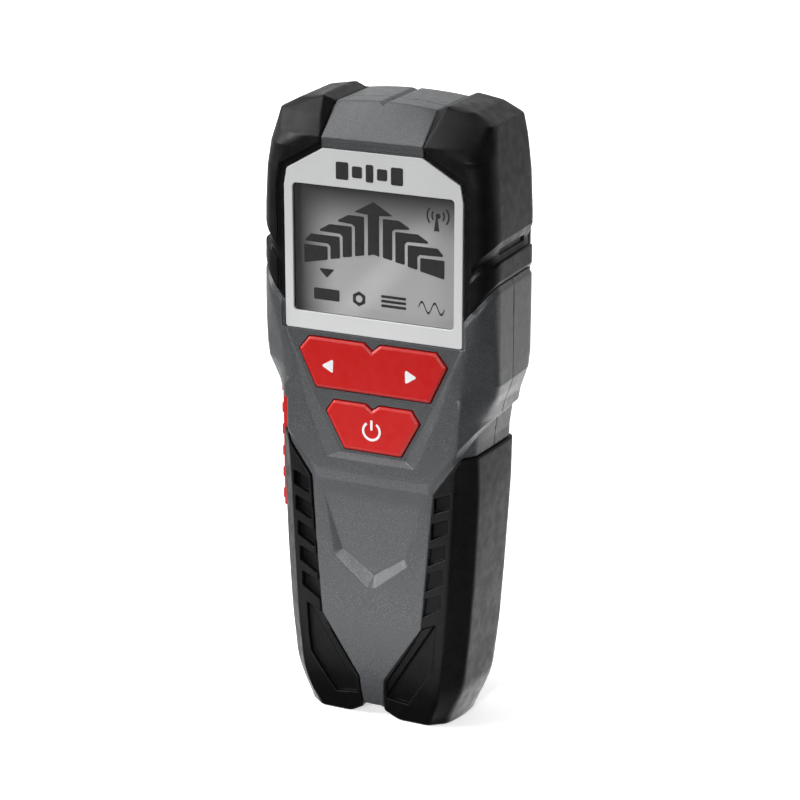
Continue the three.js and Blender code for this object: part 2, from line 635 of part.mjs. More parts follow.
SCREWS.forEach(([x, z], i) => {
  const headY = z > 100 ? 27.1 : 21.1;
  add(`housing_screw_${i + 1}`, 'steel', screw(x, z, headY, 7, 1.3, 2.3, 1.8));
});
BOARD_SCREWS.forEach(([x, z], i) => {
  add(`board_screw_${i + 1}`, 'steel', screw(x, z, BOARD_Y[1] + FIT, 4, 1.0, 1.9, 1.3));
});

export default group;
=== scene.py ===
# Looks for a hand-held stud finder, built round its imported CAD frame.
# Lengths here are millimetres, with y measured from the front of the display bezel, as in the part's
# own source. Only the helpers that make Blender meshes turn them into metres in the shared frame.
# Moulded pieces are solids written as distance functions (negative inside) and meshed at a fixed step.
# Thin flat pieces are outlines given a thickness.

import math
from concurrent.futures import ThreadPoolExecutor

import bpy
import numpy as np
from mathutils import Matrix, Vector


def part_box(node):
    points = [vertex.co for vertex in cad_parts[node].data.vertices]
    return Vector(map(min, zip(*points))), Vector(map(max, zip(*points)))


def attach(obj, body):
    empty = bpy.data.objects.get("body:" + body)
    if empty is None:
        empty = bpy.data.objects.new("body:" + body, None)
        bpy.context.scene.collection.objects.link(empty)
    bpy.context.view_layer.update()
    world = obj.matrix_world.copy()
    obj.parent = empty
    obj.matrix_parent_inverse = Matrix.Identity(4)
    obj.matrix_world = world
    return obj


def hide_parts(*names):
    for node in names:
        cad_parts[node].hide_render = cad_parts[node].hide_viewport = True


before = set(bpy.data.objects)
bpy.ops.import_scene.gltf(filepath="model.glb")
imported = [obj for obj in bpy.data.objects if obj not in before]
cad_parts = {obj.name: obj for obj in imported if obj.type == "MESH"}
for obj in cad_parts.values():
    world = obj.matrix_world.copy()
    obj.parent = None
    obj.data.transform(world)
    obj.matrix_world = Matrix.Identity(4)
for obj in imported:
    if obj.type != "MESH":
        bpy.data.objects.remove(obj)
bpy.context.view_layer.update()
MM = 0.001
FACE_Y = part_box("display_bezel")[0].y / MM      # the bezel's front in the shared frame

# -------------------- camera

CAMERA_FROM = (303.87, -647.41, 338.93)
CAMERA_TO = (8.87, -16.05, 104.35)


def make_camera():
    data = bpy.data.cameras.new("camera")
    data.lens = 112.5
    data.sensor_width = 36.0
    data.clip_start = 0.01
    data.clip_end = 20.0
    camera = bpy.data.objects.new("camera", data)
    bpy.context.scene.collection.objects.link(camera)
    start = Vector(CAMERA_FROM) * MM
    camera.location = start
    camera.rotation_mode = "QUATERNION"
    camera.rotation_quaternion = (Vector(CAMERA_TO) * MM - start).to_track_quat("-Z", "Y")
    bpy.context.scene.camera = camera


make_camera()

# -------------------- driving dimensions

HEIGHT = 191.5
SPLIT_Y = 16.0          # where the housing halves meet
FIT = 0.1               # gap between fixed pieces
SLIP = 0.3              # gap round moving pieces
RUBBER = 3.0            # rubber thickness
WALL = 2.2              # housing wall
STEP = 0.35             # mesh step of the large pieces
FINE = 0.22             # mesh step of the small pieces
SHARP_ANGLE = 35        # degrees; flat pieces and CAD nodes are shaded flat across sharper edges

# Right half of the outer body. Each row is a height, then the front corner, front edge, shoulder, heel and
# back corner as (x, y).
SECTIONS = [
    [0.0, (17.5, 0.8), (22.4, 4.2), (24.9, 10.0), (24.8, 20.5), (20.0, 24.5)],
    [4.5, (20.0, -1.0), (24.6, 4.0), (26.6, 11.0), (27.0, 22.0), (22.0, 27.0)],
    [13.0, (22.6, -2.3), (28.2, 4.2), (30.0, 12.0), (30.4, 23.0), (26.0, 28.5)],
    [30.0, (24.2, -2.4), (30.1, 4.4), (31.1, 14.0), (31.4, 26.2), (28.0, 28.5)],
    [50.0, (25.3, -2.1), (31.4, 4.8), (32.4, 14.0), (32.7, 26.6), (29.5, 28.5)],
    [76.0, (26.6, -1.6), (32.4, 5.1), (33.6, 14.0), (34.0, 27.4), (31.4, 29.0)],
    [89.0, (27.6, -1.5), (32.3, 4.8), (33.4, 14.0), (33.9, 28.2), (32.0, 30.0)],
    [92.0, (27.8, -1.4), (32.2, 4.7), (33.4, 12.5), (33.8, 28.6), (32.2, 30.2)],
    [99.0, (28.2, -1.2), (32.2, 4.5), (34.0, 11.0), (34.5, 29.4), (32.8, 31.0)],
    [103.5, (28.6, -1.0), (32.6, 4.1), (35.2, 8.4), (35.4, 29.4), (33.4, 31.8)],
    [107.0, (28.9, -0.9), (33.0, 3.5), (36.8, 6.8), (36.8, 29.2), (34.0, 32.8)],
    [110.5, (29.1, -0.7), (33.6, 2.8), (37.9, 5.8), (38.0, 29.6), (34.8, 33.7)],
    [115.0, (29.4, -0.6), (33.8, 2.2), (38.1, 5.0), (38.1, 31.0), (35.5, 34.0)],
    [132.0, (31.0, -0.8), (33.5, -0.7), (38.0, 5.0), (38.1, 31.0), (35.5, 34.0)],
    [158.0, (31.0, -0.8), (33.4, -0.7), (37.6, 5.2), (38.0, 31.0), (35.5, 34.0)],
    [170.0, (31.0, -0.8), (33.2, -0.6), (36.8, 5.2), (37.4, 30.8), (35.0, 34.0)],
    [177.6, (30.6, -0.7), (32.2, 0.0), (35.8, 6.0), (36.4, 30.7), (34.0, 34.0)],
    [181.1, (24.7, -0.5), (32.2, 3.2), (35.3, 7.7), (35.8, 30.7), (33.2, 34.0)],
    [186.6, (22.5, 4.0), (33.6, 8.2), (34.3, 10.0), (34.6, 30.6), (32.0, 34.0)],
    [190.0, (21.0, 6.9), (24.9, 8.2), (27.6, 10.0), (28.2, 30.4), (26.4, 32.2)],
    [HEIGHT, (20.2, 8.1), (20.3, 10.0), (20.5, 14.0), (20.6, 28.6), (19.0, 30.7)],
]
# Softening of the section's five corners, front to back, by height.
ROUNDING = [
    [0.0, 0.7, 0.8, 2.4, 2.4, 2.0],
    [14.0, 0.7, 0.5, 1.4, 2.4, 2.0],
    [98.0, 0.7, 0.5, 1.2, 2.4, 2.0],
    [118.0, 0.7, 2.4, 1.2, 2.4, 2.2],
    [168.0, 1.0, 3.6, 1.2, 1.8, 2.0],
    [176.0, 1.6, 3.6, 1.2, 1.2, 1.4],
    [182.0, 2.4, 1.2, 0.8, 0.7, 0.7],
]
SOFT_BELOW = 86.0                          # under this height the body is a smooth sweep

# Right half outlines seen from the front, as (x, z).
BEZEL = [(15.8, 177.6), (27.7, 170.7), (28.6, 165.7), (28.6, 122.4)]
ROCKER = [(2.6, 120.3), (20.7, 120.3), (24.0, 116.2), (18.6, 104.8)]
POWER = [(2.2, 101.4), (12.8, 101.4), (15.3, 97.7), (9.3, 86.6)]
WINDOW = [(25.9, 166.5), (25.9, 127.8)]
BUMPER_EDGE = [(16.2, 200), (16.2, 177.7), (27.95, 170.9), (28.85, 165.75), (28.85, 130.6), (37.8, 141.8),
               (45, 141.8), (45, 200)]
GRIP_EDGE = [(3.4, -5), (3.4, 3.0), (4.2, 13.6), (16.7, 32.8), (20.2, 76.6), (28.6, 88.4), (45, 88.4),
             (45, -5)]
GRIP_BACK_EDGE = [(8.0, -5), (8.0, 5.0), (23.5, 17.0), (23.5, 88.4), (45, 88.4), (45, -5)]
WELL = [(28.2, 180.0), (28.2, 122.4), (26.5, 118.5), (19.6, 103.5), (18.4, 101.0), (5.6, 75.2)]
WELL_LOW = 85.3
SHIELD = [(16.6, 80.0), (15.6, 71.5), (10.3, 54.1), (0.0, 46.9)]
WINDOWS = 5             # short pockets in each grip
POCKET_BACK = 14.0      # no pocket reaches further back than this
LONG_POCKET = [(20.9, 24.0), (20.3, 19.4), (12.1, 7.0), (5.0, 7.9), (5.2, 13.3), (17.4, 33.4), (21.6, 35.3)]
ROCKER_NOTCH = 2.3
POWER_NOTCH = 1.6
BUTTON_TOP = -0.8
BUTTON_ROOT = 1.9
PIVOT = (0.0, 2.5)      # the rocker's pin, as (x, y)
SCAN = {"y0": 10.8, "y1": 22.2, "z0": 60.6, "z1": 102.6, "face": -35.9, "root": -30.0, "rib": 0.6, "ribs": 6}
DOOR = {"half": 15.9, "y0": 26.5, "y1": 28.5, "z0": 13.4, "z1": 69.7}
DOOR_PIN = (27.3, 13.4)                    # the door's hinge, as (y, z)
BATTERY_ROOM = (-13.9, 13.9, 7.7, 40, 13.8, 67.2)
PAD_HEIGHTS = (177.0, 117.0)
PAD_SEAT = (21.1, 3.1)                     # half width and half height of each glide pad's seat
LABEL_SEAT = (-20.1, 20.1, 33.8, 40, 135.9, 156.1)
SCREWS = [(-26.0, 179.0), (26.0, 179.0), (-20.0, 40.0), (20.0, 40.0)]
BOARD_SCREWS = [(-27.0, 110.0), (27.0, 110.0)]

# -------------------- distance functions


def smax(a, b, k):
    """The larger of two distances, with the corner between them rounded over about k."""
    return np.maximum(a, b) + np.maximum(k - np.abs(a - b), 0.0) ** 2 / (4.0 * k)


def smin(a, b, k):
    """The smaller of two distances, with the join filled over about k."""
    return -smax(-a, -b, k)


def ramp(start, end, value):
    """0 before start, 1 after end, smooth between."""
    t = np.clip((value - start) / (end - start), 0.0, 1.0)
    return t * t * (3.0 - 2.0 * t)


def both(half):
    """A right half outline closed with its mirror image."""
    return list(half) + [(-x, z) for x, z in reversed(half)]


def notched(half, depth):
    """A button's outline, with its small notch at the top centre."""
    return [(0.0, half[0][1] - depth)] + both(half)


def clockwise(points):
    area = sum(a[0] * b[1] - b[0] * a[1] for a, b in zip(points, points[1:] + points[:1]))
    return area < 0


def grown(points, distance):
    """Every side of an outline moved outwards by a distance."""
    points = list(reversed(points)) if clockwise(points) else list(points)
    count = len(points)
    moved = []
    for i in range(count):
        a, b, c = (Vector(points[j % count]) for j in (i - 1, i, i + 1))
        first = (b - a).normalized()
        second = (c - b).normalized()
        n1 = Vector((first.y, -first.x))
        n2 = Vector((second.y, -second.x))
        moved.append(tuple(b + (n1 + n2) * (distance / (1.0 + n1.dot(n2)))))
    return moved


def flat(points, x, z, reach=4.0):
    """Distance to an outline in the front view, worked out only within reach of its box."""
    xs = [p[0] for p in points]
    zs = [p[1] for p in points]
    near = (x > min(xs) - reach) & (x < max(xs) + reach) & (z > min(zs) - reach) & (z < max(zs) + reach)
    px = x[near]
    pz = z[near]
    best = np.full(px.shape, 1e9)
    inside = np.zeros(px.shape, bool)
    for (ax, az), (bx, bz) in zip(points, points[1:] + points[:1]):
        ex, ez = bx - ax, bz - az
        t = np.clip(((px - ax) * ex + (pz - az) * ez) / (ex * ex + ez * ez), 0.0, 1.0)
        best = np.minimum(best, (px - ax - ex * t) ** 2 + (pz - az - ez * t) ** 2)
        if az != bz:
            crosses = (az > pz) != (bz > pz)
            inside ^= crosses & (px < ex * (pz - az) / ez + ax)
    out = np.full(x.shape, reach)
    out[near] = np.sqrt(best) * np.where(inside, -1.0, 1.0)
    return out


def block(x, y, z, x0, x1, y0, y1, z0, z1):
    """A box between two corners."""
    return np.maximum.reduce([x0 - x, x - x1, y0 - y, y - y1, z0 - z, z - z1])


def rod_y(x, y, z, at, radius, y0, y1):
    """A cylinder along y through (x, z)."""
    return np.maximum(np.hypot(x - at[0], z - at[1]) - radius, np.maximum(y0 - y, y - y1))


def rod_z(x, y, z, at, radius, z0, z1):
    """A cylinder along z through (x, y)."""
    return np.maximum(np.hypot(x - at[0], y - at[1]) - radius, np.maximum(z0 - z, z - z1))


def rod_x(x, y, z, at, radius, x0, x1):
    """A cylinder along x through (y, z)."""
    return np.maximum(np.hypot(y - at[0], z - at[1]) - radius, np.maximum(x0 - x, x - x1))


def cut(solid, hole, k=0.3):
    """One solid less another, with the new edge rounded over about k."""
    return smax(solid, -hole, k)


# -------------------- outer body

TABLE_STEP = 0.1
TABLE_LOW = -5.0
TABLE_HIGH = 197.0


def section_table():
    """For each height, the unit normal and offset of every side of the half section."""
    heights = np.arange(TABLE_LOW, TABLE_HIGH + TABLE_STEP / 2, TABLE_STEP)
    rows = np.array([s[0] for s in SECTIONS])
    corners = np.array([[p for point in s[1:] for p in point] for s in SECTIONS])
    exact = np.stack([np.interp(heights, rows, corners[:, i]) for i in range(10)], 1)
    smooth = np.empty_like(exact)
    crisp = np.empty_like(exact)
    for source, half_width in ((smooth, 60), (crisp, 4)):
        kernel = np.hanning(2 * half_width + 1)
        kernel /= kernel.sum()
        for i in range(10):
            padded = np.pad(exact[:, i], half_width, mode="edge")
            source[:, i] = np.convolve(padded, kernel, mode="valid")
    share = ramp(SOFT_BELOW - 12.0, SOFT_BELOW, heights)[:, None]
    points = (smooth * (1 - share) + crisp * share).reshape(-1, 5, 2)
    sides = []
    for i in range(4):
        way = points[:, i + 1] - points[:, i]
        length = np.hypot(way[:, 0], way[:, 1])
        nx = way[:, 1] / length
        ny = -way[:, 0] / length
        sides.append(np.stack([nx, ny, nx * points[:, i, 0] + ny * points[:, i, 1]], 1))
    return points[:, 0, 1].copy(), points[:, 4, 1].copy(), np.stack(sides, 1)


FRONT_AT, BACK_AT, SIDES_AT = section_table()


def skin(ax, y, z):
    """Distance to the outer body, before any detail. ax is |x|."""
    place = np.clip((z - TABLE_LOW) / TABLE_STEP, 0, len(FRONT_AT) - 2)
    row = place.astype(np.int32)
    part = place - row
    f = FRONT_AT[row] * (1 - part) + FRONT_AT[row + 1] * part - y
    heights = [level[0] for level in ROUNDING]
    soft = [np.interp(z, heights, [level[i + 1] for level in ROUNDING]) for i in range(5)]
    for i in range(4):
        a = SIDES_AT[row, i]
        b = SIDES_AT[row + 1, i]
        line = a + (b - a) * part[:, None]
        f = smax(f, ax * line[:, 0] + y * line[:, 1] - line[:, 2], soft[i])
    f = smax(f, y - (BACK_AT[row] * (1 - part) + BACK_AT[row + 1] * part), soft[4])
    f = smax(f, z - HEIGHT, 0.3)
    f = smax(f, -z, 1.0)
    notch = np.maximum(z - 3.0, (ax - 3.2) - (3.0 - z) * 1.65) / 1.9
    return smax(f, -notch, 0.8)


# -------------------- housing

# The crease where the head's face steps down to the handle, by distance from the middle.
CREASE_X = [18.7, 25.8, 31.6, 34.2]
CREASE_Z = [80.1, 88.7, 96.0, 98.6]


def relief(ax, y, z):
    """How far the housing's surface stands out from the plain body."""
    crease = np.interp(ax, CREASE_X, CREASE_Z) + 0.05 * np.maximum(y, 0.0)
    width = np.interp(ax, [20.0, 28.0, 33.0], [3.6, 2.5, 0.8])
    rise = np.clip((z - crease + width) / width, 0.0, 1.0)
    high = 0.45 * (1.0 - ramp(99.0, 116.0, z))
    low = -0.45 - 0.4 * ramp(18.0, 21.0, ax)
    lip = 0.6 * (1.0 - ramp(0.2, 2.0, bumper_region(ax, y, z))) * ramp(160.0, 150.0, z)
    return low + (high - low) * rise - lip


def well(x, y, z):
    """Solid left round the recess for the buttons and the lower bezel."""
    beside = np.maximum(flat(both(WELL), x, z, 9.0), 0.0)
    below = np.maximum(WELL_LOW - z, 0.0)
    return np.minimum((-0.15 - 0.45 * beside - y) / 1.1, (-0.15 - 1.3 * below - y) / 1.64)


def shield_floor(x, z):
    """Depth of the shallow chevron recess in the handle's face."""
    outline = SHIELD + [(-corner, height) for corner, height in reversed(SHIELD[:-1])]
    away = np.maximum(flat(outline, x, z, 9.0), 0.0)
    return 0.6 - 1.85 * (z - 46.8) / 25.2 - 0.72 * away


def bumper_region(ax, y, z):
    return np.maximum(flat(BUMPER_EDGE, ax, z, 6.0), y - 31.2)


def grip_region(ax, y, z):
    behind = ramp(13.0, 15.0, y)
    return flat(GRIP_EDGE, ax, z, 6.0) * (1 - behind) + flat(GRIP_BACK_EDGE, ax, z, 6.0) * behind


def scan_pocket(x, y, z):
    s = SCAN
    return block(x, y, z, -45, -24, s["y0"] - SLIP, s["y1"] + SLIP, s["z0"] - SLIP, s["z1"] + SLIP)


def shell(x, y, z):
    """Both housing halves together, with the rubber's space cut away and the inside hollow."""
    ax = np.abs(x)
    plain = skin(ax, y, z)
    f = plain - relief(ax, y, z)
    # The grey strip over the head between the bumpers: its crown, sloping front and centre groove.
    strip_slope = 1.112 - 0.275 * (np.minimum(ax, 16.0) / 15.9) ** 2
    strip_top = 191.0 - 1.2 * (np.minimum(ax, 16.0) / 15.8) ** 2
    f = smax(f, z - strip_top, 0.5)
    f = smax(f, (z - 181.0 - (y + 0.5) * strip_slope) / np.hypot(1.0, strip_slope), 0.5)
    f = smax(f, (z - 190.0 - 0.77 * ax) / 1.26, 0.3)
    rubber = np.minimum(bumper_region(ax, y, z), grip_region(ax, y, z))
    f = smax(f, np.minimum(-rubber, plain + RUBBER), 0.5)
    hollow = np.minimum.reduce([
        plain + 4.2,
        block(x, y, z, -33, 33, 3.0, 31.6, 112, 183),
        block(x, y, z, -26, 26, 1.2, 26.2, 78, 112),
        block(x, y, z, -22, 22, 2.2, 26.2, 12, 80),
    ])
    hollow = np.maximum(hollow, plain + WALL)
    hollow = np.maximum(hollow, np.minimum(0.8 - rubber, plain + RUBBER + 0.8))
    return plain, f, hollow


def finger_relief(x, y, z):
    """The housing's left edge, cut back to bare the front of the scan button."""
    top = 102.0 - 0.59 * (x + 31.0)
    return np.maximum.reduce([25.9 + 0.91 * x + 0.41 * y, z - top, 82.0 - z])


def front_housing(x, y, z):
    """The front half, with its recesses, openings, screw posts and the rocker's lugs."""
    ax = np.abs(x)
    plain, f, hollow = shell(x, y, z)
    f = smax(f, well(x, y, z), 0.25)
    f = smax(f, (shield_floor(x, z) - y) / 1.23, 0.15)
    bezel = both(BEZEL)
    around = flat(bezel, x, z)
    f = smax(f, -np.maximum(around - 1.0, np.maximum(y, 122.3 - z)), 0.3)
    f = np.maximum(f, -np.maximum(around - FIT, y - 0.9))
    f = np.maximum(f, -hollow)
    posts = np.minimum.reduce([rod_y(x, y, z, at, 2.9, 1.0, SPLIT_Y) for at in SCREWS]
                              + [rod_y(x, y, z, at, 2.3, 1.2, 8.1) for at in BOARD_SCREWS])
    f = np.minimum(f, np.maximum(posts, plain + RUBBER))
    f = np.maximum(f, -block(x, y, z, -26.9, 26.9, -5, 8, 126.7, 167.7))
    for half, notch in ((ROCKER, ROCKER_NOTCH), (POWER, POWER_NOTCH)):
        hole = np.maximum(flat(grown(notched(half, notch), SLIP), x, z), y - 6.0)
        f = cut(f, hole, 0.25)
    lugs = np.minimum(block(x, y, z, -2.6, 2.6, 0.9, 4.9, 102.6, 103.9),
                      block(x, y, z, -2.6, 2.6, 1.4, 4.9, 121.0, 122.2))
    f = np.minimum(f, lugs)
    bores = np.minimum.reduce([rod_y(x, y, z, at, 1.5, 5.0, 20.0) for at in SCREWS]
                              + [rod_y(x, y, z, at, 1.15, 3.2, 12.0) for at in BOARD_SCREWS]
                              + [rod_z(x, y, z, PIVOT, 1.35, 102.0, 122.4)])
    f = np.maximum(f, -bores)
    f = smax(f, y - (SPLIT_Y - FIT / 4), 0.05)
    f = cut(f, finger_relief(x, y, z), 0.4)
    return cut(f, scan_pocket(x, y, z), 0.4)


def rear_housing(x, y, z):
    """The rear half, with the battery tray, the door's recess and the seats on its back."""
    plain, f, hollow = shell(x, y, z)
    f = np.maximum(f, -hollow)
    room = block(x, y, z, *BATTERY_ROOM)
    posts = np.minimum.reduce([rod_y(x, y, z, (sx, sz), 2.9, SPLIT_Y, 33 if sz > 100 else 27)
                               for sx, sz in SCREWS])
    tray = np.maximum(block(x, y, z, -15.4, 15.4, 6.6, 27.0, 12.3, 68.6), -room)
    tray = np.maximum(tray, -block(x, y, z, -8, 8, 12, 20, 66, 70))
    rib = block(x, y, z, -24.8, -23.2, 22.8, 26.8, 78, 91)
    inner = np.minimum.reduce([posts, tray, rib])
    below_split = smax(f, SPLIT_Y + FIT / 4 - y, 0.05)
    f = np.minimum(below_split, np.maximum(inner, plain + RUBBER))
    f = cut(f, block(x, y, z, -16.2, 16.2, 26.3, 40, 12.0, 70.0), 0.5)
    f = np.maximum(f, -np.minimum(room, rod_x(x, y, z, DOOR_PIN, 1.2, -17.6, 17.6)))
    for sx, sz in SCREWS:
        f = cut(f, rod_y(x, y, z, (sx, sz), 1.6, 10, 50), 0.1)
        f = cut(f, rod_y(x, y, z, (sx, sz), 2.5, 27.0 if sz > 100 else 21.0, 50), 0.5)
    wide, tall = PAD_SEAT
    for middle in PAD_HEIGHTS:
        f = cut(f, block(x, y, z, -wide, wide, 33.6, 40, middle - tall, middle + tall), 0.3)
    f = cut(f, block(x, y, z, *LABEL_SEAT), 0.3)
    finger = np.hypot(x / 9.0, (z - 72.0) / 4.5) * 4.5 - 4.5
    f = cut(f, smax(finger, 27.3 - y, 0.8), 0.8)
    return cut(f, scan_pocket(x, y, z), 0.4)


# -------------------- rubber


def bumper(x, y, z):
    ax = np.abs(x)
    plain = skin(ax, y, z)
    side = ramp(33.0, 37.4, ax)
    edge_z = np.interp(ax, [28.85, 37.8], [130.6, 141.8])
    height = (z - edge_z) * (0.618 + 0.382 * side)
    rise = (height - 5.6 - 0.4 * side) / (0.9 + 0.9 * side)
    fall = (8.3 + 4.1 * side - height) / (0.9 + 1.3 * side)
    groove = (0.9 + 0.45 * side) * np.clip(np.minimum(rise, fall), 0.0, 1.0)
    f = plain + groove
    slot = block(ax, y, z, 30, 45, 8, 26, 149.8, 151.4)
    f = cut(f, np.maximum(slot, -(plain + 2.0)), 0.4)
    f = smax(f, (z - 191.6 + 0.44 * (20.3 - ax)) / 1.09, 0.3)
    f = smax(f, 0.511 * (16.0 - ax) + 0.560 * (9.9 - y) + 0.653 * (z - 189.7), 0.3)
    f = smax(f, -np.maximum(flat(grown(both(BEZEL), 2.3), x, z), y - 0.4), 0.4)
    f = smax(f, bumper_region(ax, y, z) + FIT, 0.6)
    return np.maximum(f, -(plain + RUBBER - FIT))


def grip(x, y, z):
    ax = np.abs(x)
    plain = skin(ax, y, z)
    f = plain
    for i in range(WINDOWS):
        inner, outer = 20.8 - 0.9 * i, 26.0 - 0.72 * i
        window = [(inner, 70.8 - 8.45 * i), (outer, 73.2 - 8.1 * i),
                  (outer, 77.8 - 8.1 * i), (inner, 75.7 - 8.2 * i)]
        across = np.clip((ax - inner) / (outer - inner), 0.0, 1.0)
        up = np.clip((z - window[0][1] - 2.2 * across) / 4.7, 0.0, 1.0)
        depth = 1.5 + 0.6 * across + 0.4 * up
        f = cut(f, np.maximum.reduce([flat(window, ax, z), -(plain + depth), y - POCKET_BACK]), 0.3)
    from_inner = ((ax - 5.2) * 20.1 - (z - 13.3) * 12.2) / 23.5
    depth = 0.8 + 0.8 * ramp(2.0, 2.5, from_inner)
    f = cut(f, np.maximum.reduce([flat(LONG_POCKET, ax, z), -(plain + depth), y - POCKET_BACK]), 0.3)
    f = smax(f, grip_region(ax, y, z) + FIT, 0.6)
    return np.maximum(f, -(plain + RUBBER - FIT))


def grip_left(x, y, z):
    return cut(grip(x, y, z), scan_pocket(x, y, z), 0.5)


# -------------------- buttons and door


def key(half, notch, x, y, z):
    """A button cap with rounded corners and a chamfered rim."""
    outline = grown(notched(half, notch), -0.8)
    edge = flat(outline, x, z, 8.0) - 0.8
    f = smax(edge, BUTTON_TOP - y, 0.25)
    f = smax(f, (0.62 * (edge + 0.8) - (y - BUTTON_TOP)) / 1.18, 0.15)
    return smax(f, y - BUTTON_ROOT, 0.3)


def rocker_button(x, y, z):
    cap = key(ROCKER, ROCKER_NOTCH, x, y, z)
    stem = rod_y(np.abs(x), y, z, (14.0, 111.5), 1.6, 1.0, 3.9)
    return np.minimum.reduce([cap, stem, rod_z(x, y, z, PIVOT, 1.1, 102.7, 122.1)])


def power_button(x, y, z):
    return np.minimum(key(POWER, POWER_NOTCH, x, y, z), rod_y(x, y, z, (0.0, 94.0), 1.8, 1.0, 3.7))


def scan_button(x, y, z):
    """The ribbed trigger on the left side, with the stem that reaches its switch."""
    s = SCAN
    f = block(x, y, z, s["face"], s["root"], s["y0"], s["y1"], s["z0"], s["z1"])
    f = smax(f, s["face"] - x, 0.8)
    pitch = (s["z1"] - s["z0"]) / s["ribs"]
    middle_y = (s["y0"] + s["y1"]) / 2
    for i in range(s["ribs"]):
        middle = s["z0"] + pitch * (i + 0.5)
        rib = smax(np.abs(y - middle_y) - 5.1, np.abs(z - middle) - pitch / 4, 0.5)
        rib = smax(rib, s["face"] - s["rib"] - x, 0.5)
        f = smin(f, smax(rib, x - s["root"], 0.1), 0.3)
    stem = rod_x(x, y, z, (middle_y, (s["z0"] + s["z1"]) / 2), 1.8, s["root"] - 1.0, s["root"] + 0.9)
    return np.minimum(np.maximum(f, x - s["root"]), stem)


def battery_door(x, y, z):
    d = DOOR
    f = block(x, y, z, -d["half"], d["half"], d["y0"], d["y1"], d["z0"], d["z1"])
    f = smax(f, y - d["y1"], 0.5)
    f = smax(f, np.abs(x) - d["half"], 0.5)
    f = smax(f, z - d["z1"], 0.5)
    for middle in (60.0, 62.5, 65.0):
        groove = smax(np.abs(x) - 8.0, np.abs(z - middle) - 0.6, 0.3)
        f = cut(f, np.maximum(groove, d["y1"] - 0.5 - y), 0.3)
    thumb = np.hypot(x / 8.0, (z - 70.2) / 4.0) * 4.0 - 4.0
    f = cut(f, np.maximum(thumb, 27.9 - y), 0.4)
    return np.minimum(f, rod_x(x, y, z, DOOR_PIN, 1.0, -17.3, 17.3))


# -------------------- meshing

CHUNK = 120000
POOL = ThreadPoolExecutor(4)


def evaluated(field, points):
    """The field at many points, in parallel."""
    parts = [points[i:i + CHUNK] for i in range(0, len(points), CHUNK)]
    done = POOL.map(lambda p: field(p[:, 0], p[:, 1], p[:, 2]), parts)
    return np.concatenate(list(done)) if parts else np.zeros(0)


def sampled(field, low, high, step):
    """Field values on a grid, exact near the surface and only of the right sign away from it."""
    coarse = 4 * step
    counts = np.ceil((high - low) / coarse).astype(int) + 1
    index = np.stack(np.meshgrid(*[np.arange(n) for n in counts], indexing="ij"), -1).reshape(-1, 3)
    rough = evaluated(field, low + index * coarse).reshape(counts)
    near = np.abs(rough) < 2.6 * coarse
    cells = np.zeros(counts - 1, bool)
    for i in (0, 1):
        for j in (0, 1):
            for k in (0, 1):
                cells |= near[i:counts[0] - 1 + i, j:counts[1] - 1 + j, k:counts[2] - 1 + k]
    fine = (counts - 1) * 4 + 1
    rows = [np.minimum(np.arange(n) // 4, c - 2) for n, c in zip(fine, counts)]
    active = cells[np.ix_(*rows)]
    values = np.where(rough[np.ix_(*rows)] < 0, -9.0, 9.0).astype(np.float32)
    where = np.argwhere(active)
    values[active] = evaluated(field, low + where * step)
    return values


TETRA = np.array([(1, -1, -1), (-1, -1, 1), (-1, 1, -1), (1, 1, 1)], float)


def slope_at(field, points, reach):
    """Field value and gradient from four samples round each point."""
    samples = [evaluated(field, points + reach * t) for t in TETRA]
    gradient = sum(s[:, None] * t for s, t in zip(samples, TETRA)) / (4 * reach)
    return sum(samples) / 4, gradient


def crossings_along(values, axis):
    """Where the field changes sign between neighbours on one axis: a quad of cells and a point for each."""
    shape = values.shape
    strides = np.array([shape[1] * shape[2], shape[2], 1])
    inside = values < 0
    u, v = (axis + 1) % 3, (axis + 2) % 3
    first = [slice(None)] * 3
    second = [slice(None)] * 3
    first[axis] = slice(0, -1)
    second[axis] = slice(1, None)
    at = np.argwhere(inside[tuple(first)] != inside[tuple(second)])
    keep = (at[:, u] > 0) & (at[:, v] > 0) & (at[:, u] < shape[u] - 1) & (at[:, v] < shape[v] - 1)
    at = at[keep]
    here = values[tuple(at.T)]
    ahead = at.copy()
    ahead[:, axis] += 1
    there = values[tuple(ahead.T)]
    crossing = at.astype(float)
    crossing[:, axis] += here / (here - there)
    cell = at @ strides
    quads = np.stack([cell - strides[u] - strides[v], cell - strides[v], cell, cell - strides[u]], 1)
    quads[here > 0] = quads[here > 0][:, ::-1]
    return quads, crossing


def settled(field, points, step):
    """Points moved on to the surface itself, by less than a step."""
    start = points.copy()
    for _ in range(2):
        value, gradient = slope_at(field, points, 0.04)
        size = np.maximum((gradient ** 2).sum(1), 0.05)
        points = points - gradient * (value / size)[:, None]
        points = start + np.clip(points - start, -0.75 * step, 0.75 * step)
    return points


def surface(field, low, high, step):
    """Vertices, quads and normals of the field's zero surface."""
    low = np.array(low, float)
    values = sampled(field, low, np.array(high, float), step)
    found = [crossings_along(values, axis) for axis in range(3)]
    quads = np.concatenate([f[0] for f in found])
    crossings = np.repeat(np.concatenate([f[1] for f in found]), 4, axis=0)
    cells, faces = np.unique(quads.ravel(), return_inverse=True)
    count = np.bincount(faces, minlength=len(cells))
    points = np.stack([np.bincount(faces, crossings[:, i], len(cells)) / count for i in range(3)], 1)
    points = settled(field, low + points * step, step)
    gradient = slope_at(field, points, 0.1)[1]
    normals = gradient / np.maximum(np.linalg.norm(gradient, axis=1), 1e-6)[:, None]
    return points, faces.reshape(-1, 4), normals


def to_frame(points):
    """Points in this file's millimetres, in metres in the shared frame."""
    return (points + np.array([0.0, FACE_Y, 0.0])) * MM


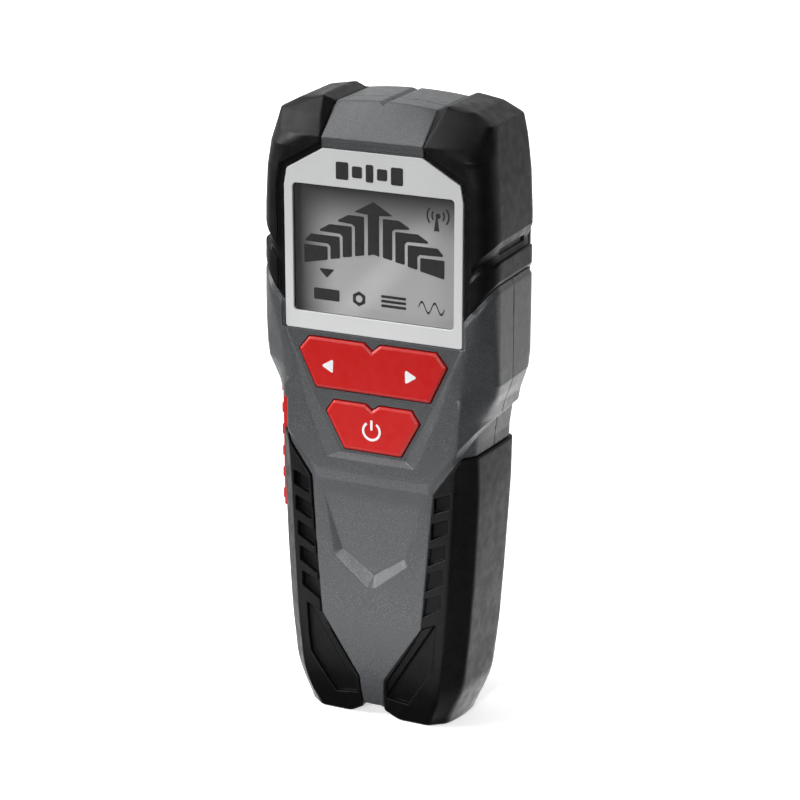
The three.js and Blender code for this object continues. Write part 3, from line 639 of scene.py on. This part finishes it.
def moulded(name, field, low, high, step, material, body, mirror=False):
    """A piece meshed from its field, in place of the CAD node of the same name."""
    points, faces, normals = surface(field, low, high, step)
    if mirror:
        points = points * np.array([-1.0, 1.0, 1.0])
        normals = normals * np.array([-1.0, 1.0, 1.0])
        faces = faces[:, ::-1]
    mesh = bpy.data.meshes.new(name)
    mesh.vertices.add(len(points))
    mesh.vertices.foreach_set("co", to_frame(points).astype(np.float32).ravel())
    mesh.loops.add(faces.size)
    mesh.loops.foreach_set("vertex_index", faces.astype(np.int32).ravel())
    mesh.polygons.add(len(faces))
    mesh.polygons.foreach_set("loop_start", np.arange(0, faces.size, 4, dtype=np.int32))
    mesh.update(calc_edges=True)
    mesh.validate()
    mesh.polygons.foreach_set("use_smooth", np.ones(len(mesh.polygons), bool))
    mesh.normals_split_custom_set_from_vertices(normals)
    mesh.materials.append(material)
    piece = bpy.data.objects.new(name + "_surface", mesh)
    bpy.context.scene.collection.objects.link(piece)
    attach(piece, body)
    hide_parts(name)


def rounded(points, radius, steps=5):
    """An outline with each corner turned into an arc."""
    points = list(reversed(points)) if clockwise(points) else list(points)
    count = len(points)
    out = []
    for i in range(count):
        a, b, c = (Vector(points[j % count]) for j in (i - 1, i, i + 1))
        back = (a - b).normalized()
        ahead = (c - b).normalized()
        half = math.acos(max(-1.0, min(1.0, back.dot(ahead)))) / 2
        if half > math.radians(88):
            out.append(tuple(b))
            continue
        reach = min(radius / math.tan(half), 0.48 * (a - b).length, 0.48 * (c - b).length)
        turn = reach * math.tan(half)
        centre = b + (back + ahead).normalized() * (turn / math.sin(half))
        start = b + back * reach - centre
        end = b + ahead * reach - centre
        angle = start.angle_signed(end)
        for k in range(steps + 1):
            t = -angle * k / steps
            out.append((centre.x + start.x * math.cos(t) - start.y * math.sin(t),
                        centre.y + start.x * math.sin(t) + start.y * math.cos(t)))
    return out


def cut_out(name, outlines, front, back, edge, material, body, node=None):
    """A flat piece from closed outlines in the front view, with rounded edges. Inner outlines are holes."""
    curve = bpy.data.curves.new(name, "CURVE")
    curve.dimensions = "2D"
    curve.fill_mode = "BOTH"
    curve.extrude = (back - front) / 2 - edge
    curve.bevel_depth = edge
    curve.bevel_resolution = 2
    curve.offset = -edge
    for outline in outlines:
        spline = curve.splines.new("POLY")
        spline.points.add(len(outline) - 1)
        for point, (x, z) in zip(spline.points, outline):
            point.co = (x, z, 0.0, 1.0)
        spline.use_cyclic_u = True
    maker = bpy.data.objects.new(name + "_maker", curve)
    bpy.context.scene.collection.objects.link(maker)
    bpy.context.view_layer.update()
    mesh = bpy.data.meshes.new_from_object(maker.evaluated_get(bpy.context.evaluated_depsgraph_get()))
    bpy.data.objects.remove(maker)
    mesh.name = name
    local = np.zeros(len(mesh.vertices) * 3, np.float32)
    mesh.vertices.foreach_get("co", local)
    local = local.reshape(-1, 3)
    placed = np.stack([local[:, 0], (front + back) / 2 - local[:, 2], local[:, 1]], 1)
    mesh.vertices.foreach_set("co", to_frame(placed).astype(np.float32).ravel())
    mesh.update()
    mesh.materials.clear()
    mesh.materials.append(material)
    for face in mesh.polygons:
        face.use_smooth = True
    mesh.set_sharp_from_angle(angle=math.radians(SHARP_ANGLE))
    piece = bpy.data.objects.new(name, mesh)
    bpy.context.scene.collection.objects.link(piece)
    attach(piece, body)
    if node:
        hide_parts(node)


# -------------------- materials


class Nodes:
    """A small helper that adds and joins shader nodes."""

    def __init__(self, name):
        self.material = bpy.data.materials.new(name)
        self.material.use_nodes = True
        self.tree = self.material.node_tree
        self.shader = self.tree.nodes["Principled BSDF"]
        self.output = self.tree.nodes["Material Output"]

    def add(self, kind, **values):
        node = self.tree.nodes.new(kind)
        for key_name, value in values.items():
            if key_name in node.inputs:
                node.inputs[key_name].default_value = value
            else:
                setattr(node, key_name, value)
        return node

    def join(self, source, target):
        self.tree.links.new(source, target)

    def place(self):
        """Object coordinates in millimetres."""
        where = self.add("ShaderNodeTexCoord")
        scaled = self.add("ShaderNodeVectorMath", operation="SCALE")
        scaled.inputs["Scale"].default_value = 1000.0
        self.join(where.outputs["Object"], scaled.inputs[0])
        return scaled.outputs[0]

    def noise(self, place, scale, detail=2.0):
        node = self.add("ShaderNodeTexNoise", Scale=scale, Detail=detail)
        self.join(place, node.inputs["Vector"])
        return node.outputs["Fac"]

    def levels(self, value, low, high, to_low=0.0, to_high=1.0):
        node = self.add("ShaderNodeMapRange", interpolation_type="SMOOTHSTEP")
        node.inputs["From Min"].default_value = low
        node.inputs["From Max"].default_value = high
        node.inputs["To Min"].default_value = to_low
        node.inputs["To Max"].default_value = to_high
        self.join(value, node.inputs["Value"])
        return node.outputs["Result"]

    def product(self, first, second):
        node = self.add("ShaderNodeMath", operation="MULTIPLY")
        self.join(first, node.inputs[0])
        self.join(second, node.inputs[1])
        return node.outputs[0]

    def blend(self, factor, first, second):
        node = self.add("ShaderNodeMix", data_type="RGBA")
        self.join(factor, node.inputs[0])
        for socket, colour in ((node.inputs[6], first), (node.inputs[7], second)):
            if isinstance(colour, tuple):
                socket.default_value = (*colour, 1.0)
            else:
                self.join(colour, socket)
        return node.outputs[2]

    def bump(self, height, distance):
        node = self.add("ShaderNodeBump", Strength=1.0, Distance=distance * MM)
        self.join(height, node.inputs["Height"])
        self.join(node.outputs[0], self.shader.inputs["Normal"])


def moulded_plastic(name, colour, fleck, roughness, grain):
    """Moulded plastic with fine flecks, slight unevenness and a spark-eroded grain."""
    n = Nodes(name)
    place = n.place()
    speckle = n.levels(n.noise(place, 4.0, 2.0), 0.46, 0.76)
    uneven = n.noise(place, 0.06, 2.0)
    base = n.blend(speckle, colour, fleck)
    n.join(n.blend(n.levels(uneven, 0.35, 0.65, 0.0, 0.12), base, tuple(c * 0.8 for c in colour)),
           n.shader.inputs["Base Color"])
    n.join(n.levels(n.noise(place, 0.4, 3.0), 0.3, 0.7, roughness - 0.04, roughness + 0.04),
           n.shader.inputs["Roughness"])
    n.bump(n.noise(place, 3.2, 3.0), grain)
    return n.material


def rubber(name, colour, roughness, reflectance):
    """Matte rubber with a fine grain and a dusty sheen."""
    n = Nodes(name)
    place = n.place()
    grain = n.noise(place, 2.4, 3.0)
    n.join(n.blend(n.levels(grain, 0.45, 0.7), colour, tuple(c * 2.4 for c in colour)),
           n.shader.inputs["Base Color"])
    n.join(n.levels(n.noise(place, 0.3, 2.0), 0.3, 0.7, roughness - 0.05, roughness + 0.05),
           n.shader.inputs["Roughness"])
    n.shader.inputs["Specular IOR Level"].default_value = reflectance
    n.bump(grain, 0.045)
    return n.material


def plain_finish(name, colour, roughness, metallic=0.0, grain=0.006, scale=1.5):
    """A quiet procedural finish for inner pieces: slight colour change and a fine grain."""
    n = Nodes(name)
    place = n.place()
    n.join(n.blend(n.noise(place, 0.5, 2.0), tuple(c * 0.86 for c in colour), colour),
           n.shader.inputs["Base Color"])
    n.join(n.levels(n.noise(place, 0.8, 2.0), 0.3, 0.7, roughness * 0.85, min(1.0, roughness * 1.15)),
           n.shader.inputs["Roughness"])
    n.shader.inputs["Metallic"].default_value = metallic
    n.bump(n.noise(place, scale, 3.0), grain)
    return n.material


def circuit_board(name):
    """Green board with lighter copper tracks running along two directions."""
    n = Nodes(name)
    place = n.place()
    brick = n.add("ShaderNodeTexBrick", Scale=0.12)
    n.join(place, brick.inputs["Vector"])
    brick.inputs["Color1"].default_value = (0.012, 0.10, 0.04, 1)
    brick.inputs["Color2"].default_value = (0.010, 0.085, 0.032, 1)
    brick.inputs["Mortar"].default_value = (0.03, 0.19, 0.08, 1)
    brick.inputs["Mortar Size"].default_value = 0.03
    n.join(brick.outputs["Color"], n.shader.inputs["Base Color"])
    n.shader.inputs["Roughness"].default_value = 0.35
    n.bump(brick.outputs["Fac"], 0.03)
    return n.material


def lens_clear(name):
    """Thin clear window: lets light through to the display and adds a soft reflection."""
    n = Nodes(name)
    clear = n.add("ShaderNodeBsdfTransparent")
    clear.inputs["Color"].default_value = (0.97, 0.97, 0.97, 1)
    gloss = n.add("ShaderNodeBsdfGlossy", Roughness=0.12)
    slant = n.add("ShaderNodeLayerWeight", Blend=0.5).outputs["Facing"]
    mix = n.add("ShaderNodeMixShader")
    n.join(n.levels(slant, 0.4, 1.3, 0.035, 1.0), mix.inputs[0])
    n.join(clear.outputs[0], mix.inputs[1])
    n.join(gloss.outputs[0], mix.inputs[2])
    n.join(mix.outputs[0], n.output.inputs["Surface"])
    return n.material


def lcd_glass(name):
    """Reflective display glass. Painted shade from the window's recessed edge darkens it towards its upper
    left and a little at its right, and a painted reflection adds a lighter diagonal band.
    """
    n = Nodes(name)
    place = n.place()
    parts = n.add("ShaderNodeSeparateXYZ")
    n.join(place, parts.inputs[0])
    # Painted shade: the recessed bezel's shadow, darkening the display towards its left and top edges and
    # slightly at its right.
    left_edge_shade = n.levels(parts.outputs["X"], -26.5, -12.0)
    top_edge_shade = n.levels(parts.outputs["Z"], 167.0, 150.0)
    right_edge_shade = n.levels(parts.outputs["X"], 27.5, 16.0, 0.75, 1.0)
    # Painted reflection: a lighter diagonal band across the display, with the glass darker on either side of
    # it.
    across = n.add("ShaderNodeVectorMath", operation="DOT_PRODUCT")
    n.join(place, across.inputs[0])
    across.inputs[1].default_value = (0.747, 0.0, -0.665)
    sheen_near_edge = n.levels(across.outputs["Value"], -98.5, -92.5, 0.8, 1.0)
    sheen_far_edge = n.levels(across.outputs["Value"], -85.5, -91.5, 0.8, 1.0)
    sheen = n.product(sheen_near_edge, sheen_far_edge)
    # The painted shade and the painted reflection together set how light the display's colour is at each
    # point.
    painted_shade_and_sheen = n.product(n.product(n.product(left_edge_shade, top_edge_shade), right_edge_shade), sheen)
    n.join(n.blend(painted_shade_and_sheen, (0.08, 0.08, 0.08), (0.62, 0.622, 0.62)), n.shader.inputs["Base Color"])
    n.shader.inputs["Roughness"].default_value = 0.3
    n.shader.inputs["Specular IOR Level"].default_value = 0.2
    return n.material


GREY = moulded_plastic("grey_plastic", (0.050, 0.053, 0.057), (0.13, 0.134, 0.139), 0.4, 0.03)
RED = moulded_plastic("red_plastic", (0.46, 0.004, 0.003), (0.50, 0.006, 0.005), 0.4, 0.008)
WHITE = moulded_plastic("white_plastic", (0.60, 0.605, 0.61), (0.63, 0.63, 0.63), 0.35, 0.004)
BLACK_RUBBER = rubber("black_rubber", (0.0028, 0.0028, 0.003), 0.45, 0.2)
PRINT_WHITE = plain_finish("print_white", (0.80, 0.80, 0.80), 0.45)
PRINT_BLACK = plain_finish("print_black", (0.02, 0.02, 0.02), 0.5)
SEGMENT = plain_finish("lcd_segment", (0.028, 0.028, 0.028), 0.6, grain=0.0)
LENS = lens_clear("clear_acrylic")
LCD = lcd_glass("lcd_glass")
# Inner pieces: colour, roughness, then metallic share, grain depth and grain scale where they differ.
PLAIN = {
    "diffuser": ((0.75, 0.76, 0.74), 0.5),
    "black_plastic": ((0.02, 0.02, 0.021), 0.45),
    "switch_plunger": ((0.6, 0.6, 0.58), 0.4),
    "copper": ((0.72, 0.33, 0.16), 0.3, 1.0),
    "steel": ((0.55, 0.56, 0.57), 0.3, 1.0),
    "foam": ((0.025, 0.025, 0.027), 0.95, 0.0, 0.2, 1.2),
    "battery_can": ((0.05, 0.09, 0.18), 0.3, 0.4),
    "felt": ((0.06, 0.063, 0.066), 0.95, 0.0, 0.12, 3.0),
    "label_paper": ((0.6, 0.6, 0.6), 0.55),
    "red_wire": ((0.45, 0.02, 0.02), 0.4),
    "black_wire": ((0.012, 0.012, 0.012), 0.4),
}
INNER = {name: plain_finish(name, *values) for name, values in PLAIN.items()}
INNER["circuit_board"] = circuit_board("circuit_board")

# -------------------- pieces

LOW_Y = -4.2            # the meshing boxes start in front of everything
TOP_Z = 193.5           # and end above it
moulded("front_housing", front_housing, (-40, LOW_Y, -2), (40, 17.5, TOP_Z), STEP, GREY, "housing")
moulded("rear_housing", rear_housing, (-40, 5.0, -2), (40, 36.0, TOP_Z), STEP, GREY, "housing")
for side, mirror in (("right", False), ("left", True)):
    moulded(f"head_bumper_{side}", bumper, (14, LOW_Y, 128), (40, 33, TOP_Z), STEP, BLACK_RUBBER, "housing",
            mirror)
moulded("grip_right", grip, (1.5, LOW_Y, -2), (38, 31, 91), STEP, BLACK_RUBBER, "housing")
moulded("grip_left", grip_left, (-38, LOW_Y, -2), (-1.5, 31, 91), STEP, BLACK_RUBBER, "housing")
moulded("rocker_button", rocker_button, (-26, -2, 102), (26, 5, 123), FINE, RED, "rocker")
moulded("power_button", power_button, (-17, -2, 85), (17, 5, 103), FINE, RED, "power")
moulded("scan_button", scan_button, (-38, 9, 59), (-28, 24, 104), FINE, RED, "scan")
moulded("battery_door", battery_door, (-19, 24, 11), (19, 30, 71.5), FINE * 1.4, GREY, "door")

BEZEL_THICK = 0.8
cut_out("display_bezel_plate", [rounded(both(BEZEL), 0.8), rounded(both(WINDOW), 1.2)], 0.0, BEZEL_THICK,
        0.18, WHITE, "housing", "display_bezel")

PRINT_THICK = 0.06
PRINT_EDGE = 0.01
PRINT_LIFT = 0.005      # how far a print stands off its surface


def print_on(name, outlines, y, material, body):
    cut_out(name, outlines, y - PRINT_THICK, y, PRINT_EDGE, material, body)


def key_print(name, outline, body):
    print_on(name, [outline], BUTTON_TOP - PRINT_LIFT, PRINT_WHITE, body)


def lcd_print(name, *outlines):
    print_on(name, outlines, LCD_FACE, SEGMENT, "housing")


def rectangle(left, right, low, high):
    return [(left, low), (right, low), (right, high), (left, high)]


def polygon(centre, radius, corners):
    turns = [2 * math.pi * k / corners for k in range(corners)]
    return [(centre[0] + radius * math.sin(t), centre[1] + radius * math.cos(t)) for t in turns]


def arc_band(centre, radius, width, start, end, steps=40):
    """A ring segment between two angles in degrees, 0 at the top and positive to the right."""
    outer, inner = [], []
    for k in range(steps + 1):
        a = math.radians(start + (end - start) * k / steps)
        for edge, r in ((outer, radius + width / 2), (inner, radius - width / 2)):
            edge.append((centre[0] + r * math.sin(a), centre[1] + r * math.cos(a)))
    return outer + inner[::-1]


key_print("arrow_left_print", rounded([(-16.5, 111.9), (-12.6, 114.3), (-12.7, 109.8)], 0.4), "rocker")
key_print("arrow_right_print", rounded([(14.7, 112.2), (10.9, 114.1), (10.9, 109.7)], 0.4), "rocker")
key_print("power_ring_print", arc_band((-0.1, 93.5), 2.72, 0.75, 35, 325), "power")
key_print("power_stem_print", rounded(rectangle(-0.47, 0.27, 93.8, 96.9), 0.15), "power")

# A plain row of bars on the bezel, alternately tall and short.
BARS = [(-11.6, -7.6), (-6.4, -3.2), (-2.0, 0.4), (1.6, 4.8), (6.0, 9.8)]
BAR_Z = 171.5
for i, (left, right) in enumerate(BARS):
    tall = 2.6 if i % 2 == 0 else 1.7
    bar = rounded(rectangle(left, right, BAR_Z - tall, BAR_Z + tall), 0.5)
    print_on(f"bezel_bar_{i + 1}", [bar], -PRINT_LIFT, PRINT_BLACK, "housing")

# The display's segments: an arrow, four levels each side of it, a pointer and a signal sign.
LCD_FACE = 1.78
ARROW = [(0, 162.9), (6.2, 159.3), (1.8, 158.9), (1.8, 146.7), (0, 147.2), (-1.8, 146.7), (-1.8, 158.9),
         (-6.2, 159.3)]
LEVELS = [
    [(3.0, 158.2), (8.1, 158.2), (12.3, 155.9), (6.9, 155.5), (6.0, 154.8), (6.0, 146.0), (3.0, 146.6)],
    [(7.0, 154.8), (14.2, 154.8), (18.3, 152.4), (10.8, 152.2), (10.0, 151.4), (10.0, 145.2), (7.0, 145.7)],
    [(10.95, 151.3), (20.4, 151.3), (22.6, 149.0), (14.8, 148.8), (14.0, 148.0), (14.0, 144.2),
     (10.95, 144.8)],
    [(14.95, 147.9), (22.6, 147.9), (22.6, 142.3), (14.95, 143.9)],
]


def segment(name, outline, radius=0.35):
    """A display segment, moved a little so that the set sits centred in the window."""
    lcd_print(name, rounded([(x - 0.45, z - 0.1) for x, z in outline], radius))


segment("segment_arrow", ARROW, 0.1)
for i, level in enumerate(LEVELS):
    segment(f"segment_right_{i + 1}", level)
    segment(f"segment_left_{i + 1}", [(-x, z) for x, z in level])
segment("segment_pointer", [(-17.9, 141.1), (-12.7, 141.1), (-15.3, 138.4)], 0.25)
segment("signal_mast", [(19.2, 156.4), (20.9, 156.4), (20.3, 160.4), (19.8, 160.4)], 0.1)
SIGNAL = (20.05, 160.8)
lcd_print("signal_ball", [(SIGNAL[0] + 0.8 * math.cos(math.radians(20 * k)),
                           SIGNAL[1] + 0.8 * math.sin(math.radians(20 * k))) for k in range(18)])
for i, radius in enumerate((1.9, 3.4)):
    for name, middle in (("left", 270), ("right", 90)):
        lcd_print(f"signal_{name}_{i + 1}", arc_band(SIGNAL, radius, 0.5, middle - 40, middle + 40, 12))

# Four pictograms: a plank, a hex nut, stacked layers and a sine wave.
ICON_Z = 133.1
NUT = (-5.2, ICON_Z)
lcd_print("icon_plank", rounded(rectangle(-20.0, -11.6, 131.4, 134.9), 0.4))
lcd_print("icon_nut", polygon(NUT, 2.3, 6), polygon(NUT, 1.1, 18))
for i in range(3):
    z = 131.6 + 1.4 * i
    lcd_print(f"icon_layer_{i + 1}", rounded(rectangle(2.0, 10.0, z, z + 0.8), 0.2))
wave = [(14.0 + 8.2 * k / 32, ICON_Z + 1.6 * math.sin(2 * math.pi * k / 16)) for k in range(33)]
lcd_print("icon_wave", [(x, z + 0.35) for x, z in wave] + [(x, z - 0.35) for x, z in reversed(wave)])

# -------------------- CAD nodes that are shown as they are

EDGE_WIDTH = 0.15       # bevel on the CAD nodes' edges


def finish_node(node, material):
    """A CAD node's own material and a small bevel."""
    node.data.materials.clear()
    node.data.materials.append(material)
    bevel = node.modifiers.new("edges", "BEVEL")
    bevel.width = EDGE_WIDTH * MM
    bevel.segments = 2
    bevel.limit_method = "ANGLE"
    bevel.angle_limit = math.radians(40)
    for face in node.data.polygons:
        face.use_smooth = True
    node.data.set_sharp_from_angle(angle=math.radians(SHARP_ANGLE))


NODE_FINISH = {
    LENS: ["display_lens"],
    LCD: ["lcd_panel"],
    INNER["foam"]: ["lens_gasket", "battery_foam_pad"],
    INNER["diffuser"]: ["backlight"],
    INNER["circuit_board"]: ["scan_switch_board", "main_board", "sensor_board"],
    INNER["black_plastic"]: ["controller_chip", "buzzer", "board_link_header", "coil_bobbin", "battery_snap",
                             "switch_left", "switch_right", "switch_power", "switch_scan"],
    INNER["switch_plunger"]: ["switch_plunger_left", "switch_plunger_right", "switch_plunger_power",
                              "switch_plunger_scan"],
    INNER["copper"]: ["detector_coil", "sensor_plate_upper", "sensor_plate_lower"],
    INNER["steel"]: ["battery_stud_positive", "battery_stud_negative", "housing_screw_1", "housing_screw_2",
                     "housing_screw_3", "housing_screw_4", "board_screw_1", "board_screw_2"],
    INNER["battery_can"]: ["battery_9v"],
    INNER["red_wire"]: ["lead_red"],
    INNER["black_wire"]: ["lead_black"],
    INNER["felt"]: ["glide_pad_upper", "glide_pad_lower"],
    INNER["label_paper"]: ["rating_label"],
}
for finish, node_names in NODE_FINISH.items():
    for node_name in node_names:
        finish_node(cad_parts[node_name], finish)

# -------------------- studio


def studio_floor():
    """A white floor that is seen but doesn't light the object; the world below it does that instead."""
    mesh = bpy.data.meshes.new("floor")
    size = 6.0
    corners = [(-size, -size, 0), (size, -size, 0), (size, size, 0), (-size, size, 0)]
    mesh.from_pydata(corners, [], [(0, 1, 2, 3)])
    floor = bpy.data.objects.new("floor", mesh)
    n = Nodes("floor")
    n.shader.inputs["Base Color"].default_value = (0.92, 0.92, 0.92, 1)
    n.shader.inputs["Roughness"].default_value = 0.9
    n.shader.inputs["Emission Color"].default_value = (1, 1, 1, 1)
    away = n.add("ShaderNodeVectorMath", operation="LENGTH")
    n.join(n.place(), away.inputs[0])
    n.join(n.levels(away.outputs["Value"], 250.0, 900.0, 0.5, 1.0), n.shader.inputs["Emission Strength"])
    mesh.materials.append(n.material)
    bpy.context.scene.collection.objects.link(floor)
    floor.visible_diffuse = False
    floor.visible_glossy = False


def hang(data, place, target):
    """Puts a light in the scene, aimed at target and out of the camera's sight."""
    light = bpy.data.objects.new(data.name, data)
    light.location = place
    light.rotation_mode = "QUATERNION"
    light.rotation_quaternion = (Vector(target) - Vector(place)).to_track_quat("-Z", "Y")
    light.visible_camera = False
    bpy.context.scene.collection.objects.link(light)


def softbox(name, place, target, size, power):
    data = bpy.data.lights.new(name, "AREA")
    data.shape = "RECTANGLE"
    data.size, data.size_y = size
    data.energy = power
    hang(data, place, target)


def pool(name, place, target, angle, power):
    """A soft-edged pool of light."""
    data = bpy.data.lights.new(name, "SPOT")
    data.spot_size = math.radians(angle)
    data.spot_blend = 1.0
    data.shadow_soft_size = 0.08
    data.energy = power
    hang(data, place, target)


FRONT_GLOW = 0.03       # how bright the studio is on the user's side
BACK_GLOW = 0.9         # behind the object
LOW_GLOW = 2.2          # the bright table behind and below it


def studio_world():
    """Dark in front, bright behind and below, as in a product shot on a white table."""
    world = bpy.data.worlds.new("studio")
    world.use_nodes = True
    tree = world.node_tree

    def spread(source, start, end, low_value, high_value):
        node = tree.nodes.new("ShaderNodeMapRange")
        node.interpolation_type = "SMOOTHSTEP"
        labels = ("From Min", "From Max", "To Min", "To Max")
        for label, value in zip(labels, (start, end, low_value, high_value)):
            node.inputs[label].default_value = value
        tree.links.new(source, node.inputs["Value"])
        return node.outputs["Result"]

    def combine(operation, first, second):
        node = tree.nodes.new("ShaderNodeMath")
        node.operation = operation
        tree.links.new(first, node.inputs[0])
        tree.links.new(second, node.inputs[1])
        return node.outputs[0]

    way = tree.nodes.new("ShaderNodeSeparateXYZ")
    tree.links.new(tree.nodes.new("ShaderNodeTexCoord").outputs["Generated"], way.inputs[0])
    back = spread(way.outputs["Y"], -0.1, 0.7, FRONT_GLOW, BACK_GLOW)
    under = combine("MULTIPLY", spread(way.outputs["Z"], -0.25, -0.6, 0.0, LOW_GLOW),
                    spread(way.outputs["Y"], 0.0, 0.6, 0.0, 1.0))
    shade = tree.nodes["Background"]
    shade.inputs["Color"].default_value = (1, 1, 1, 1)
    tree.links.new(combine("ADD", back, under), shade.inputs["Strength"])
    seen = tree.nodes.new("ShaderNodeBackground")
    seen.inputs["Color"].default_value = (1, 1, 1, 1)
    path = tree.nodes.new("ShaderNodeLightPath")
    mix = tree.nodes.new("ShaderNodeMixShader")
    tree.links.new(path.outputs["Is Camera Ray"], mix.inputs[0])
    tree.links.new(shade.outputs[0], mix.inputs[1])
    tree.links.new(seen.outputs[0], mix.inputs[2])
    tree.links.new(mix.outputs[0], tree.nodes["World Output"].inputs["Surface"])
    bpy.context.scene.world = world


studio_floor()
studio_world()
MIDDLE = (0.0, 0.0, 0.1)
softbox("key", (-1.0, -0.5, 0.72), MIDDLE, (0.8, 0.8), 20)
softbox("fill", (0.45, -1.15, 0.5), MIDDLE, (0.5, 0.5), 5.0)
softbox("overhead", (-0.3, -0.15, 0.95), MIDDLE, (0.6, 0.5), 3.0)
pool("handle_pool", (0.1, -1.2, 0.5), (0.0, 0.0, 0.02), 9.0, 40)
softbox("floor_card", (-0.04, -0.10, 0.003), (-0.04, -0.10, 1.0), (0.24, 0.10), 0.15)
bpy.context.scene.view_settings.view_transform = "Standard"
